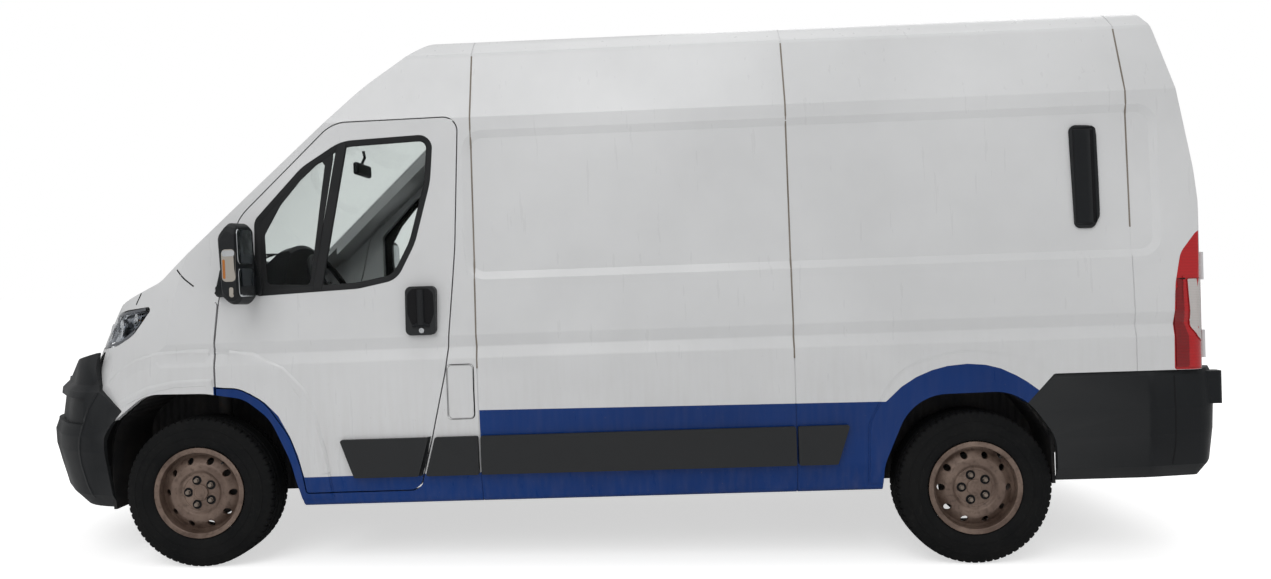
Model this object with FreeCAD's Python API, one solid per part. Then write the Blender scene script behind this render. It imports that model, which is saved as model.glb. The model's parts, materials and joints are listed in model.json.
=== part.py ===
import FreeCAD, Part
import math
import os

V = FreeCAD.Vector


def aft(corners):
    """Corners of a side view, given from the rear axle."""
    return [(wheelbase + a, b, radius) for a, b, radius in corners]


def aft_plan(corners):
    """Corners of a plan view, given from the rear axle."""
    return [(a, wheelbase + b, radius) for a, b, radius in corners]


# Everything is in millimetres: X to the van's left, Y rearwards from the front axle, Z up from the ground.
# Outlines are lists of corners (first axis, second axis, corner radius).

# Stance
wheelbase = 3450.0
front_wheel_x = 905.0
rear_wheel_x = 895.0
tyre_radius = 337.0
rake_deg = 1.25
origin_shift = wheelbase / 2 + 72.8

# Body shell
wall = 60.0
nose_wall = 30.0
seat_gap = 0.3
sill_low = 262.0
cavity_drop = 200.0
turn_y = wheelbase + 150.0
reach = 6000.0
half_reach = 3000.0
roof_seam_z = 2275.0
groove_width = 5.0
groove_depth = 3.0
seam_gap = 0.3
shut_gap = 6.0

side_front_corners = [
    (-800.0, 420.0, 120.0), (-835.0, 800.0, 120.0), (-800.0, 960.0, 60.0), (-560.0, 1165.0, 300.0),
    (-275.0, 1289.0, 150.0), (640.0, 2132.0, 1200.0), (930.0, 2345.0, 500.0),
    (1360.0, 2460.0, 600.0)]
side_rear_corners = aft([
    (814.0, 2460.0, 80.0), (862.0, 2240.0, 300.0), (966.0, 1620.0, 900.0), (992.0, 1330.0, 1200.0),
    (992.0, 470.0, 30.0)])
nose_foot = (-700.0, 40.0)
tail_foot = (wheelbase + 790.0, 30.0)

section_corners = [
    (985.0, 30.0), (1014.0, 395.0, 200.0), (1028.0, 640.0, 500.0), (1028.0, 904.0, 30.0),
    (1014.0, 957.0, 16.0), (1025.0, 1008.0, 30.0), (1012.0, 1215.0, 300.0), (985.0, 1972.0, 12.0),
    (882.0, 2275.0, 60.0), (790.0, 2350.0, 150.0)]
roof_apex_z = 2476.0
roof_crown_radius = 4500.0

tail_corners = [(0.0, -1500.0, 0.0), (1028.0, -1500.0, 0.0), (1028.0, wheelbase + 992.0, 66.0),
                (0.0, wheelbase + 992.0, 0.0)]
plan_low = -200.0
plan_high = 2700.0

# Nose seen from above at one height, leaning back as it rises
nose_corners = [
    (0.0, -842.0, 0.0), (420.0, -732.0, 400.0), (880.0, -460.0, 350.0), (1034.0, -138.0, 600.0),
    (1034.0, 6500.0, 0.0), (0.0, 6500.0, 0.0)]
nose_level_z = 1010.0
nose_lean_share = 0.45

front_arch_corners = [
    (-404.0, -100.0, 0.0), (-418.0, 640.0, 150.0), (-210.0, 790.0, 190.0), (60.0, 786.0, 300.0),
    (235.0, 757.0, 150.0), (350.0, 664.0, 200.0), (432.0, 470.0, 500.0), (474.0, 262.0, 200.0),
    (476.0, -100.0, 0.0)]
rear_arch_corners = aft([
    (-420.0, -100.0, 0.0), (-398.0, 380.0, 200.0), (-270.0, 682.0, 220.0), (190.0, 688.0, 220.0),
    (340.0, 480.0, 200.0), (366.0, -100.0, 0.0)])

# Raised flares round the arches
front_flare_corners = [
    (-560.0, 300.0, 0.0), (-480.0, 800.0, 100.0), (-330.0, 945.0, 150.0), (-60.0, 972.0, 300.0),
    (215.0, 968.0, 200.0), (400.0, 868.0, 200.0), (520.0, 710.0, 250.0), (585.0, 520.0, 300.0),
    (604.0, 300.0, 0.0)]
rear_flare_corners = aft([
    (-460.0, 300.0, 0.0), (-458.0, 560.0, 160.0), (-330.0, 800.0, 260.0), (-50.0, 868.0, 400.0),
    (230.0, 828.0, 260.0), (410.0, 690.0, 120.0), (430.0, 300.0, 0.0)])
flare_steps = ((5.0, 1.0), (2.5, 8.0))

# Side seams
seam_front_y = 1280.0
seam_mid_y = wheelbase - 777.0
seam_rear_y = wheelbase + 691.0
panel_inner_x = 700.0
door_inner_x = 880.0
outer_x = 1100.0

# Cab doors
door_corners = [
    (112.0, 812.0, 0.0), (112.0, 1000.0, 300.0), (133.0, 1190.0, 300.0), (230.0, 1558.0, 200.0),
    (665.0, 1968.0, 160.0), (1222.0, 1974.0, 60.0), (1194.0, 1400.0, 1500.0), (1145.0, 890.0, 1200.0),
    (1068.0, 566.0, 900.0), (1002.0, 326.0, 60.0), (492.0, 326.0, 10.0), (484.0, 420.0, 400.0),
    (436.0, 585.0, 300.0), (330.0, 742.0, 200.0), (215.0, 806.0, 150.0)]
door_window_corners = [
    (298.0, 1210.0, 20.0), (300.0, 1548.0, 60.0), (520.0, 1778.0, 250.0), (700.0, 1888.0, 200.0),
    (1114.0, 1904.0, 60.0), (1096.0, 1690.0, 400.0), (1020.0, 1420.0, 300.0), (935.0, 1262.0, 100.0),
    (760.0, 1228.0, 300.0)]
glass_depth = 8.0
glass_thickness = 5.0
sill_piece_front_y = 452.0

# Windscreen, seen from the front
screen_corners = [
    (-770.0, 1395.0, 60.0), (-700.0, 2235.0, 90.0), (700.0, 2235.0, 90.0), (770.0, 1395.0, 60.0)]
screen_rear_y = 1500.0

# Bonnet
bonnet_corners = [
    (0.0, -385.0, 0.0), (815.0, -262.0, 20.0), (828.0, -400.0, 80.0), (700.0, -580.0, 300.0),
    (560.0, -700.0, 120.0), (540.0, -1000.0, 0.0), (0.0, -1000.0, 0.0)]
bonnet_low_z = 985.0
bonnet_thickness = 24.0
bonnet_gap = 12.5
bonnet_hinge = (-276.0, 1246.0)
bonnet_pin_radius = 6.0
bonnet_pin_xs = (790.0, 818.0, 846.0)
cowl_corners = [(0.0, -379.0, 0.0), (840.0, -253.0, 0.0), (840.0, 200.0, 0.0), (0.0, 200.0, 0.0)]
cowl_low_z = 1180.0
cowl_high_z = 1372.0
cowl_recess = 18.0

# Wings
wing_corners = [
    (-1000.0, 100.0, 0.0), (-1000.0, 1500.0, 0.0), (-190.0, 1372.0, 0.0), (-40.0, 1296.0, 60.0),
    (60.0, 1202.0, 60.0), (123.0, 1190.0, 20.0), (103.0, 1000.0, 300.0), (103.0, 262.0, 0.0)]
wing_gap = 5.0

# Headlamps
lamp_corners = [
    (-186.0, 1182.0, 14.0), (-300.0, 1050.0, 160.0), (-400.0, 1002.0, 80.0), (-560.0, 976.0, 100.0),
    (-900.0, 860.0, 0.0), (-900.0, 1000.0, 0.0), (-560.0, 1120.0, 150.0), (-350.0, 1166.0, 150.0)]
lamp_inner_x = 545.0

# Grille
grille_low_z = 852.0
grille_high_z = 982.0
grille_half = 544.7
grille_slots = 3
grille_slot_share = 0.55
grille_margin = 20.0
grille_back_y = -600.0

# Front bumper, as levels of one plan outline
bumper_plan = [
    (0.0, -954.0, 0.0), (600.0, -911.0, 350.0), (966.0, -626.0, 420.0), (1026.0, -382.0, 300.0),
    (1022.0, -200.0, 0.0), (0.0, -200.0, 0.0)]
bumper_levels = [(266.0, 101.0), (330.0, 48.0), (450.0, 20.0), (534.0, 2.0), (604.0, 0.0), (644.0, 14.0),
                 (800.0, 36.0), (830.0, 66.0), (975.0, 94.0)]
bumper_recess = (520.0, -540.0, 656.0, 772.0, 19.0)
bumper_edge_corners = [
    (-1000.0, 200.0, 0.0), (-370.0, 200.0, 0.0), (-370.0, 680.0, 10.0), (-332.0, 716.0, 6.0),
    (-462.0, 806.0, 20.0), (-500.0, 900.0, 60.0), (-492.0, 976.0, 6.0), (-660.0, 940.0, 60.0),
    (-760.0, 856.0, 0.0), (-1000.0, 820.0, 0.0)]
bumper_thickness = 25.0
bumper_slot = (560.0, 340.0, 620.0)

# Rear bumper
tail_plan = aft_plan([
    (0.0, 1102.0, 0.0), (865.0, 1100.0, 100.0), (1000.0, 1012.0, 100.0), (1036.0, 750.0, 300.0),
    (1036.0, 50.0, 0.0), (0.0, 50.0, 0.0)])
tail_levels = [(284.0, 60.0), (340.0, 20.0), (480.0, 4.0), (590.0, 0.0), (736.0, 8.0), (756.7, 18.0)]
tail_step_z = 620.0
tail_step_half = 900.0
tail_step_y = wheelbase + 986.0
tail_post_radius = 84.0
tail_front_corners = aft([
    (190.0, 602.0, 0.0), (336.0, 757.0, 25.0), (1150.0, 757.0, 0.0), (1150.0, 200.0, 0.0), (190.0, 200.0, 0.0)])
tail_thickness = 30.0
tail_tower_corners = aft_plan([(925.0, 986.0, 0.0), (982.0, 986.0, 0.0), (982.0, 1078.0, 14.0), (925.0, 1078.0, 14.0)])
tail_tower_zs = (600.0, 742.0)

# Mouldings on the sides
strip_low_z = 392.0
strip_high_z = 562.0
strip_proud = 16.0
strip_round = 8.0
strip_spans = (((659.0, 719.0), (1056.0, 1006.0)), ((1084.0, 1038.0), (1274.0, 1274.0)),
               ((1286.0, 1286.0), (wheelbase - 782.0, wheelbase - 782.0)),
               ((wheelbase - 772.0, wheelbase - 772.0), (wheelbase - 547.0, wheelbase - 604.0)))

# Recess of the side panels
recess_top_z = 1912.0
recess_low_z = 1250.0
recess_front_y = 1240.0
recess_rear_y = wheelbase + 820.0
recess_depth = 10.0
recess_bevel = 34.0
recess_corner = 90.0
recess_proud = 3.0


# Floor and load space
floor_low_z = 550.0
floor_high_z = 600.0
floor_front_y = 60.0
floor_rear_y = wheelbase + 894.0
threshold_half = 880.0
threshold_depth = 34.0
threshold_z = 622.0
load_floor_z = 604.0
bulkhead_y = 1285.0
bulkhead_thickness = 36.0
liner_thickness = 14.0
front_liner_inner_x = 592.0
rear_liner_inner_x = 735.0
liner_outer_x = 950.0

# Rear doors
tail_zone_y = wheelbase + 750.0
tail_opening_corners = [(0.0, 626.0, 0.0), (864.0, 626.0, 0.0), (864.0, 762.0, 20.0), (934.0, 762.0, 20.0),
                        (934.0, 1300.0, 900.0), (800.0, 2232.0, 90.0), (0.0, 2232.0, 0.0)]
tail_door_corners = [(858.0, 632.0, 16.0), (858.0, 768.0, 20.0), (928.0, 768.0, 16.0), (928.0, 1300.0, 900.0),
                     (794.0, 2226.0, 86.0), (3.0, 2226.0, 0.0), (3.0, 632.0, 0.0)]
tail_door_skin = 25.0
tail_door_edge_x = 24.0
tail_hinge = (950.0, wheelbase + 1012.0)
tail_hinge_radius = 11.0
tail_hinge_length = 60.0
tail_hinge_web = 45.0
tail_hinge_web_x = 938.0
tail_hinge_root = 26.0
tail_hinge_zs = (800.0, 1140.0)

# Tail lamps
tail_lamp_corners = aft([(850.0, 758.0, 10.0), (853.0, 950.0, 300.0), (868.0, 1130.0, 200.0),
                     (896.0, 1262.0, 90.0), (970.0, 1356.0, 60.0), (1050.0, 1370.0, 0.0), (1050.0, 758.0, 0.0)])
tail_lamp_inner_x = 964.0

# Sliding door on the right
slide_corners = [(1292.0, 300.0, 25.0), (1292.0, 1966.0, 60.0), (2580.0, 1966.0, 60.0), (2580.0, 300.0, 60.0)]
slide_rail_z = 1120.0
slide_rail_height = 46.0
slide_rail_end = wheelbase + 430.0
rail_proud = 4.0

# Fuel flap
flap_corners = [(1146.0, 640.0, 14.0), (1146.0, 878.0, 14.0), (1262.0, 878.0, 14.0), (1258.0, 640.0, 14.0)]

# Side vent
vent_corners = aft([(454.0, 1382.0, 26.0), (444.0, 1832.0, 30.0), (560.0, 1824.0, 30.0), (563.0, 1436.0, 30.0),
                (534.0, 1380.0, 26.0)])
vent_proud = 7.0

# Wheels
tyre_corners = [
    (-90.0, 191.3, 0.0), (-92.0, 212.0, 10.0), (-107.5, 262.0, 45.0), (-101.0, 326.0, 20.0),
    (-84.0, 337.0, 10.0), (84.0, 337.0, 10.0), (101.0, 326.0, 20.0), (107.5, 262.0, 45.0),
    (92.0, 212.0, 10.0), (90.0, 191.3, 0.0)]
barrel_corners = [
    (-91.0, 181.0, 0.0), (-91.0, 191.0, 0.0), (91.0, 191.0, 0.0), (91.0, 181.0, 0.0)]
flange_corners = [(91.0, 181.0, 0.0), (91.0, 191.0, 0.0), (93.5, 204.0, 2.0), (99.0, 204.0, 2.0), (98.0, 181.0, 4.0)]
disc_corners = [
    (46.0, 181.5, 0.0), (56.0, 181.5, 0.0), (60.0, 166.0, 12.0), (93.0, 128.0, 22.0), (90.0, 100.0, 12.0),
    (77.0, 88.0, 10.0), (77.0, 34.0, 0.0), (84.0, 33.0, 5.0), (84.0, 0.0, 0.0), (68.0, 0.0, 0.0),
    (68.0, 92.0, 8.0), (82.0, 103.0, 10.0), (84.0, 124.0, 16.0), (50.0, 162.0, 14.0)]
disc_back_x = 68.0
rim_reach = 110.0
vent_hole_count = 10
vent_hole_ring = 146.0
vent_hole_radius = 15.0
hub_radius = 78.0
brake_radius = 138.0
brake_thickness = 24.0

# Steering and front suspension
kingpin_x = 850.0
upright_half = 40.0
upright_low_z = 226.0
upright_high_z = 448.0
arm_low_z = 196.0
arm_height = 28.0
arm_half = 30.0
strut_x = 705.0
strut_radius = 30.0
strut_high_z = 780.0
subframe_half = 60.0
subframe_high_z = 318.0
subframe_x = 560.0

# Chassis, drive and tank
rail_x = 430.0
rail_half = 35.0
rail_low_z = 318.3
rail_front_y = -560.0
rail_rear_y = wheelbase + 780.0
cross_ys = (700.0, 1500.0, 2300.0, wheelbase - 550.0, wheelbase + 610.0)
cross_half = 40.0
cross_reach = 430.0
cross_lift = 60.0
rail_high_z = 549.7
outrigger_ys = (700.0, 1500.0, 2300.0)
outrigger_reach = 940.0
outrigger_height = 80.0
engine_box = (-330.0, 330.0, -620.0, -150.0, 350.0, 930.0)
tank_box = (-394.7, 394.7, 1560.0, 2220.0, 250.0, 430.0)
exhaust_x = -600.0
exhaust_z = 300.0
exhaust_radius = 27.0
exhaust_front_y = 500.0
exhaust_rear_y = wheelbase - 550.0
silencer_radius = 80.0
silencer_ys = (wheelbase - 1090.0, wheelbase - 650.0)
axle_radius = 38.0
spring_x = 620.0
spring_half = 32.0
spring_thickness = 26.0
spring_half_length = 640.0
spring_rise = 90.0
spring_bed = 26.0
axle_slot = 62.0
spring_radius = 1800.0
hanger_half = 22.0

# Cab inside
dash_corners = [(-60.0, 700.0, 40.0), (-100.0, 1180.0, 60.0), (60.0, 1235.0, 60.0), (300.0, 1150.0, 70.0),
                (330.0, 960.0, 60.0), (180.0, 760.0, 60.0)]
dash_half = 880.0
seat_xs = (480.0, -400.0)
seat_halfs = (250.0, 440.0)
seat_front_y = 610.0
seat_rear_y = 1080.0
seat_base_z = 760.0
seat_cushion_z = 900.0
seat_back_z = 1500.0
seat_back_thickness = 120.0
head_half = 130.0
head_z = 1720.0
head_low_z = 1540.0
seat_round = 45.0
head_inset = 15.0
head_post_half = 12.0
head_post_back = 70.0
wheel_x = 480.0
wheel_y = 470.0
wheel_z = 1215.0
wheel_radius = 200.0
wheel_grip = 15.0
wheel_tilt_deg = 28.0
boss_radius = 60.0
boss_height = 60.0
spoke_half = 12.0
spoke_angles_deg = (10.0, 170.0, 270.0)
column_radius = 32.0
column_length = 180.0

# Mirrors
mirror_corners = [(252.0, 1196.0, 40.0), (240.0, 1482.0, 60.0), (285.0, 1538.0, 27.0), (326.0, 1514.0, 34.0),
                  (330.0, 1196.0, 34.0), (296.0, 1172.0, 30.0)]
mirror_centre = (298.0, 1350.0)
mirror_levels = [(1062.0, 0.72), (1076.0, 0.94), (1100.0, 1.0), (1210.0, 0.98), (1242.0, 0.9), (1254.0, 0.76)]
mirror_arm = (1005.0, 1075.0, 264.0, 316.0, 1225.0, 1300.0)
mirror_foot_corners = [(150.0, 1215.0, 20.0), (262.0, 1500.0, 30.0), (330.0, 1300.0, 40.0), (335.0, 1215.0, 20.0)]
mirror_foot_proud = -4.0

# Handles
handle_corners = [(975.0, 1015.0, 26.0), (979.0, 1230.0, 26.0), (1113.0, 1230.0, 26.0), (1109.0, 1015.0, 26.0)]
handle_proud = 22.0

# Door hinges
cab_hinge = (1013.0, 140.0)
hinge_zs = (830.0, 1020.0)
hinge_height = 44.0
hinge_arm_half = 5.0
hinge_pin_radius = 4.0
hinge_pocket = (948.0, 1018.0, 100.0, 158.0)
hinge_post = (890.0, 970.0, 66.0, 104.0)
hinge_arm_x = 935.0
hinge_post_zs = (814.0, 1085.0)


def ring(corners, at):
    """Closed wire round the corners, each rounded to its own radius."""
    count = len(corners)
    bends = []
    for i in range(count):
        here = V(corners[i][0], corners[i][1], 0)
        back = (V(corners[i - 1][0], corners[i - 1][1], 0) - here).normalize()
        onward = (V(corners[(i + 1) % count][0], corners[(i + 1) % count][1], 0) - here).normalize()
        radius = corners[i][2]
        half = back.getAngle(onward) / 2
        run = radius / math.tan(half)
        middle = here
        if radius > 0:
            middle = here + (back + onward).normalize() * (radius / math.sin(half) - radius)
        bends.append((here + back * run, middle, here + onward * run))
    edges = []
    for i in range(count):
        start, middle, end = [at(p.x, p.y) for p in bends[i]]
        following = at(bends[(i + 1) % count][0].x, bends[(i + 1) % count][0].y)
        if corners[i][2] > 0:
            edges.append(Part.Arc(start, middle, end).toShape())
        edges.append(Part.LineSegment(end, following).toShape())
    return Part.Wire(edges)


def scaled(corners, centre, share):
    """The outline drawn in towards a centre, its radii too."""
    return [(centre[0] + (a - centre[0]) * share, centre[1] + (b - centre[1]) * share, radius * share)
            for a, b, radius in corners]


def side_face(corners, x):
    return Part.Face(ring(corners, lambda a, b: V(x, a, b)))


def side_prism(corners, x0, x1):
    """Outline in Y and Z, extruded along X."""
    return side_face(corners, x0).extrude(V(x1 - x0, 0, 0))


def section_prism(corners, y0, y1):
    """Outline in X and Z, extruded along Y."""
    return Part.Face(ring(corners, lambda a, b: V(a, y0, b))).extrude(V(0, y1 - y0, 0))


def plan_prism(corners, z0, z1):
    """Outline in X and Y, extruded along Z."""
    return Part.Face(ring(corners, lambda a, b: V(a, b, z0))).extrude(V(0, 0, z1 - z0))


def box(x0, x1, y0, y1, z0, z1):
    return Part.makeBox(x1 - x0, y1 - y0, z1 - z0, V(x0, y0, z0))


def flip(shape):
    return shape.mirror(V(0, 0, 0), V(1, 0, 0))


def both(corners):
    """Half an outline on the left, completed on the right; its ends are on the centre line."""
    return corners + [(-a, b, r) for a, b, r in reversed(corners[1:-1])]


def inset_face(face, inset):
    return face.makeOffset2D(-inset).Faces[0] if inset else face


def body_form(inset, drop=0):
    """The van's outer form, drawn in by an inset, with its underside lowered by a drop."""
    low = sill_low - drop
    side = [(nose_foot[0], low, nose_foot[1])] + side_front_corners + side_rear_corners
    side = side + [(tail_foot[0], low, tail_foot[1])]
    profile = inset_face(side_face(side, 0), inset)
    ahead = profile.common(box(-half_reach, half_reach, -reach, turn_y, -reach, reach))
    behind = profile.common(box(-half_reach, half_reach, turn_y, reach, -reach, reach))
    ahead.rotate(V(0, turn_y, 0), V(0, 0, 1), -90)
    front = ahead.Faces[0].revolve(V(0, turn_y, 0), V(0, 0, 1), 180)
    rear = behind.Faces[0].copy()
    rear.translate(V(-half_reach, 0, 0))
    rear = rear.extrude(V(half_reach * 2, 0, 0))
    whole = front.fuse(rear)
    half = [(0, low, 0), (section_corners[0][0], low, section_corners[0][1])] + section_corners[1:]
    section = both(half + [(0, roof_apex_z, roof_crown_radius)])
    section_face = inset_face(Part.Face(ring(section, lambda a, b: V(a, -reach, b))), inset)
    whole = whole.common(section_face.extrude(V(0, reach * 2, 0)))
    height = plan_high - plan_low
    for corners, lean in ((tail_corners, 0), (nose_corners, nose_lean_share)):
        start = (plan_low - nose_level_z) * lean
        plan_face = inset_face(Part.Face(ring(both(corners), lambda a, b: V(a, b + start, plan_low))), inset)
        whole = whole.common(plan_face.extrude(V(0, height * lean, height)))
    return whole


def grown(corners, amount, at):
    return Part.Face(ring(corners, at)).makeOffset2D(amount)


def side_grown(corners, amount, x0, x1):
    face = grown(corners, amount, lambda a, b: V(x0, a, b))
    return face.extrude(V(x1 - x0, 0, 0))


def join(shapes):
    return Part.makeCompound(shapes)


def cylinder(radius, start, end):
    run = end - start
    return Part.makeCylinder(radius, run.Length, start, run)


def upright_tube(radius, x, y, z0, z1):
    return cylinder(radius, V(x, y, z0), V(x, y, z1))


def loft_levels(corners, levels, inset=0):
    """Solid through one plan outline drawn in by a different amount at each height."""
    wires = []
    for z, shrink in levels:
        face = Part.Face(ring(both(corners), lambda a, b: V(a, b, z)))
        wires.append(inset_face(face, shrink + inset).OuterWire)
    return Part.makeLoft(wires, True, True)


def largest(shape):
    """The biggest solid of a cut, without its offcuts."""
    return max(shape.Solids, key=lambda solid: solid.Volume)


def revolve_x(points, x0=0):
    """Solid of revolution round X from corners (x, radius, corner radius)."""
    face = Part.Face(ring(points, lambda a, b: V(x0 + a, 0, b)))
    return face.revolve(V(0, 0, 0), V(1, 0, 0), 360)


# Body forms that the panels are cut from
outer = body_form(0)
for proud, spread in flare_steps:
    raised = body_form(-proud)
    for flare in (front_flare_corners, rear_flare_corners):
        patch = raised.common(side_grown(flare, spread, panel_inner_x, outer_x))
        outer = outer.fuse(patch).fuse(flip(patch))
groove_layer = outer.cut(body_form(groove_depth))
cavity = body_form(wall, cavity_drop)
room = body_form(wall + seat_gap, cavity_drop)
nose_room = body_form(nose_wall, cavity_drop)
ahead_of_dash = box(-outer_x, outer_x, -reach, floor_front_y, -reach, reach)
shell = outer.cut(cavity).cut(nose_room.common(ahead_of_dash))
arches = []
for arch in (front_arch_corners, rear_arch_corners):
    opening = side_prism(arch, front_liner_inner_x, outer_x)
    arches += [opening, flip(opening)]
bumper_zone = side_prism(bumper_edge_corners, -outer_x, outer_x)
bumper_zone = bumper_zone.cut(box(-grille_half, grille_half, -reach, grille_back_y, grille_low_z, reach))
tail_zone = side_prism(tail_front_corners, -outer_x, outer_x)
tail_half, tail_low = tail_opening_corners[1][:2]
tail_zone = tail_zone.cut(box(-tail_half, tail_half, tail_zone_y, reach, tail_low, reach))
shell = shell.cut(Part.makeCompound(arches)).cut(bumper_zone).cut(tail_zone)

nodes = {}


def left_zone(y0, y1, z0, z1, x0=panel_inner_x):
    return box(x0, outer_x, y0, y1, z0, z1)


# Seams, grooves and the recess, cut once from the whole shell
seams = []
for seam_y in (seam_front_y, seam_mid_y, seam_rear_y):
    seams.append(box(-outer_x, outer_x, seam_y - groove_width / 2, seam_y + groove_width / 2, 0, reach))
flap_ring = side_grown(flap_corners, groove_width, panel_inner_x, outer_x)
flap_ring = flap_ring.cut(side_prism(flap_corners, panel_inner_x, outer_x))
shell = shell.cut(groove_layer.common(join(seams + [flap_ring])))


def wall_x(z):
    """Outside of the side wall at a height between the waist and the drip line."""
    low, high = section_corners[6], section_corners[7]
    return low[0] + (high[0] - low[0]) * (z - low[1]) / (high[1] - low[1])


def recess_wire(inset, depth):
    y0, y1 = recess_front_y + inset, recess_rear_y - inset
    z0, z1 = recess_low_z + inset, recess_top_z - inset
    radius = recess_corner - inset
    corners = [(y0, z0, radius), (y0, z1, radius), (y1, z1, radius), (y1, z0, radius)]
    return ring(corners, lambda a, b: V(wall_x(b) - depth, a, b))


recess = Part.makeLoft([recess_wire(-recess_bevel * recess_proud / recess_depth, -recess_proud),
                        recess_wire(recess_bevel, recess_depth)], True, True)
shell = shell.cut(join([recess, flip(recess)]))

# Cab doors
door_prism = side_prism(door_corners, door_inner_x, outer_x)
door_hole = side_grown(door_corners, shut_gap, door_inner_x, outer_x)
window_prism = side_prism(door_window_corners, panel_inner_x, outer_x)
glass_layer = body_form(glass_depth).cut(body_form(glass_depth + glass_thickness))
pockets = []
for hinge_z in hinge_zs:
    x0, x1, y0, y1 = hinge_pocket
    pockets.append(box(x0, x1, y0, y1, hinge_z - shut_gap, hinge_z + hinge_height + shut_gap))
door = shell.common(door_prism).cut(window_prism).cut(join(pockets))
nodes["door_left"] = door
nodes["door_right"] = flip(door)
glass = glass_layer.common(window_prism)
nodes["door_left_glass"] = glass
nodes["door_right_glass"] = flip(glass)

# Door hinge arms on the body, reaching the hinge line from inside
arms = []
x0, x1, y0, y1 = hinge_post
post = box(x0, x1, y0, y1, hinge_post_zs[0], hinge_post_zs[1]).common(room)
for hinge_z in hinge_zs:
    arm = box(hinge_arm_x - shut_gap, cab_hinge[0], cab_hinge[1] - hinge_arm_half,
              cab_hinge[1] + hinge_arm_half, hinge_z, hinge_z + hinge_height)
    stem = box(hinge_arm_x - shut_gap, hinge_arm_x, y0, cab_hinge[1] + hinge_arm_half,
               hinge_z, hinge_z + hinge_height)
    pin = upright_tube(hinge_pin_radius, cab_hinge[0], cab_hinge[1], hinge_z, hinge_z + hinge_height)
    arms += [arm, stem, pin]
hinge_side = post
for arm in arms:
    hinge_side = hinge_side.fuse(arm)

# Rear doors
tail_opening = section_prism(both(tail_opening_corners), tail_zone_y, reach)
tail_door = shell.common(section_prism(tail_door_corners, tail_zone_y, reach))
tail_door = tail_door.cut(body_form(tail_door_skin).common(box(0, tail_door_edge_x, tail_zone_y, reach, 0, reach)))
hinge_x, hinge_y = tail_hinge
body_barrels, door_barrels = [], []
for hinge_z in tail_hinge_zs:
    for extra, parts in ((0, door_barrels), (tail_hinge_length + seat_gap, body_barrels)):
        z0 = hinge_z + extra
        parts.append(upright_tube(tail_hinge_radius, hinge_x, hinge_y, z0, z0 + tail_hinge_length))

for barrel, height in zip(door_barrels, tail_hinge_zs):
    root = box(hinge_x - tail_hinge_web, tail_door_corners[2][0], hinge_y - tail_hinge_root,
               hinge_y + tail_hinge_radius / 2, height, height + tail_hinge_length)
    web = box(hinge_x - tail_hinge_web, hinge_x, hinge_y - tail_hinge_radius / 2, hinge_y + tail_hinge_radius / 2,
              height, height + tail_hinge_length)
    tail_door = tail_door.fuse(root).fuse(web).fuse(barrel)
rear_frame = shell.common(box(0, outer_x, seam_rear_y + seam_gap, reach, 0, roof_seam_z))
rear_frame = rear_frame.cut(tail_opening)
lamp_prism = side_prism(tail_lamp_corners, tail_lamp_inner_x, outer_x)
lamp = rear_frame.common(lamp_prism)
nodes["tail_lamps"] = join([lamp, flip(lamp)])
rear_frame = rear_frame.cut(lamp_prism)
for barrel, height in zip(body_barrels, tail_hinge_zs):
    z0 = height + tail_hinge_length + seat_gap
    web = box(tail_hinge_web_x, hinge_x, hinge_y - tail_hinge_root, hinge_y, z0, z0 + tail_hinge_length)
    rear_frame = rear_frame.fuse(web).fuse(barrel)
nodes["rear_frame"] = rear_frame.fuse(flip(rear_frame)).removeSplitter()
nodes["tail_door_left"] = tail_door
nodes["tail_door_right"] = flip(tail_door)

# Side panels, each split at its seams
high_side = roof_seam_z
mid = shell.common(left_zone(seam_front_y + seam_gap, seam_mid_y, sill_low, high_side))
quarter = shell.common(left_zone(seam_mid_y + seam_gap, seam_rear_y, sill_low, high_side))
nodes["side_mid_left"] = mid
nodes["side_quarter_left"] = quarter
nodes["side_quarter_right"] = flip(quarter)
slide_prism = flip(side_prism(slide_corners, panel_inner_x, outer_x))
slide_hole = flip(side_grown(slide_corners, shut_gap, panel_inner_x, outer_x))
nodes["sliding_door"] = flip(mid).common(slide_prism)
nodes["side_mid_right"] = flip(mid).cut(slide_hole)
frame_zone = left_zone(sill_piece_front_y, seam_front_y, sill_low, door_corners[5][1] + shut_gap, door_inner_x)
lip_zone = left_zone(door_corners[0][0], sill_piece_front_y, sill_low, door_corners[0][1], door_inner_x)
sides = frame_zone.fuse(lip_zone)
pillar = shell.common(sides).cut(door_hole)
nodes["pillar_left"] = pillar
nodes["pillar_right"] = flip(pillar)

# Bonnet, cowl, headlamps, grille and wings
front = box(-outer_x, outer_x, -reach, seam_front_y, 0, roof_seam_z)
nose = shell.common(front)
bonnet_plan = both(bonnet_corners)
bonnet_prism = plan_prism(bonnet_plan, bonnet_low_z, plan_high)
bonnet_hole = grown(bonnet_plan, bonnet_gap, lambda a, b: V(a, b, bonnet_low_z - bonnet_gap))
bonnet_hole = bonnet_hole.extrude(V(0, 0, reach))
bonnet = nose.cut(body_form(bonnet_thickness)).common(bonnet_prism)
nose = nose.cut(bonnet_hole)
cowl_zone = plan_prism(both(cowl_corners), cowl_low_z, cowl_high_z)
nodes["cowl"] = largest(nose.common(cowl_zone).common(body_form(cowl_recess)))
nose = nose.cut(cowl_zone)
lamp_side = side_prism(lamp_corners, lamp_inner_x, outer_x)
lamp_zone = lamp_side.fuse(flip(lamp_side))
nodes["headlamps"] = nose.common(lamp_zone)
nose = nose.cut(lamp_zone)
grille_zone = box(-grille_half, grille_half, -reach, grille_back_y, grille_low_z, grille_high_z)
grille = nose.common(grille_zone)
pitch = (grille_high_z - grille_low_z - grille_margin * 2) / grille_slots
for i in range(grille_slots):
    z0 = grille_low_z + grille_margin + pitch * i
    grille = grille.cut(box(grille_margin - grille_half, grille_half - grille_margin, -reach, grille_back_y,
                            z0, z0 + pitch * grille_slot_share))
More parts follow.
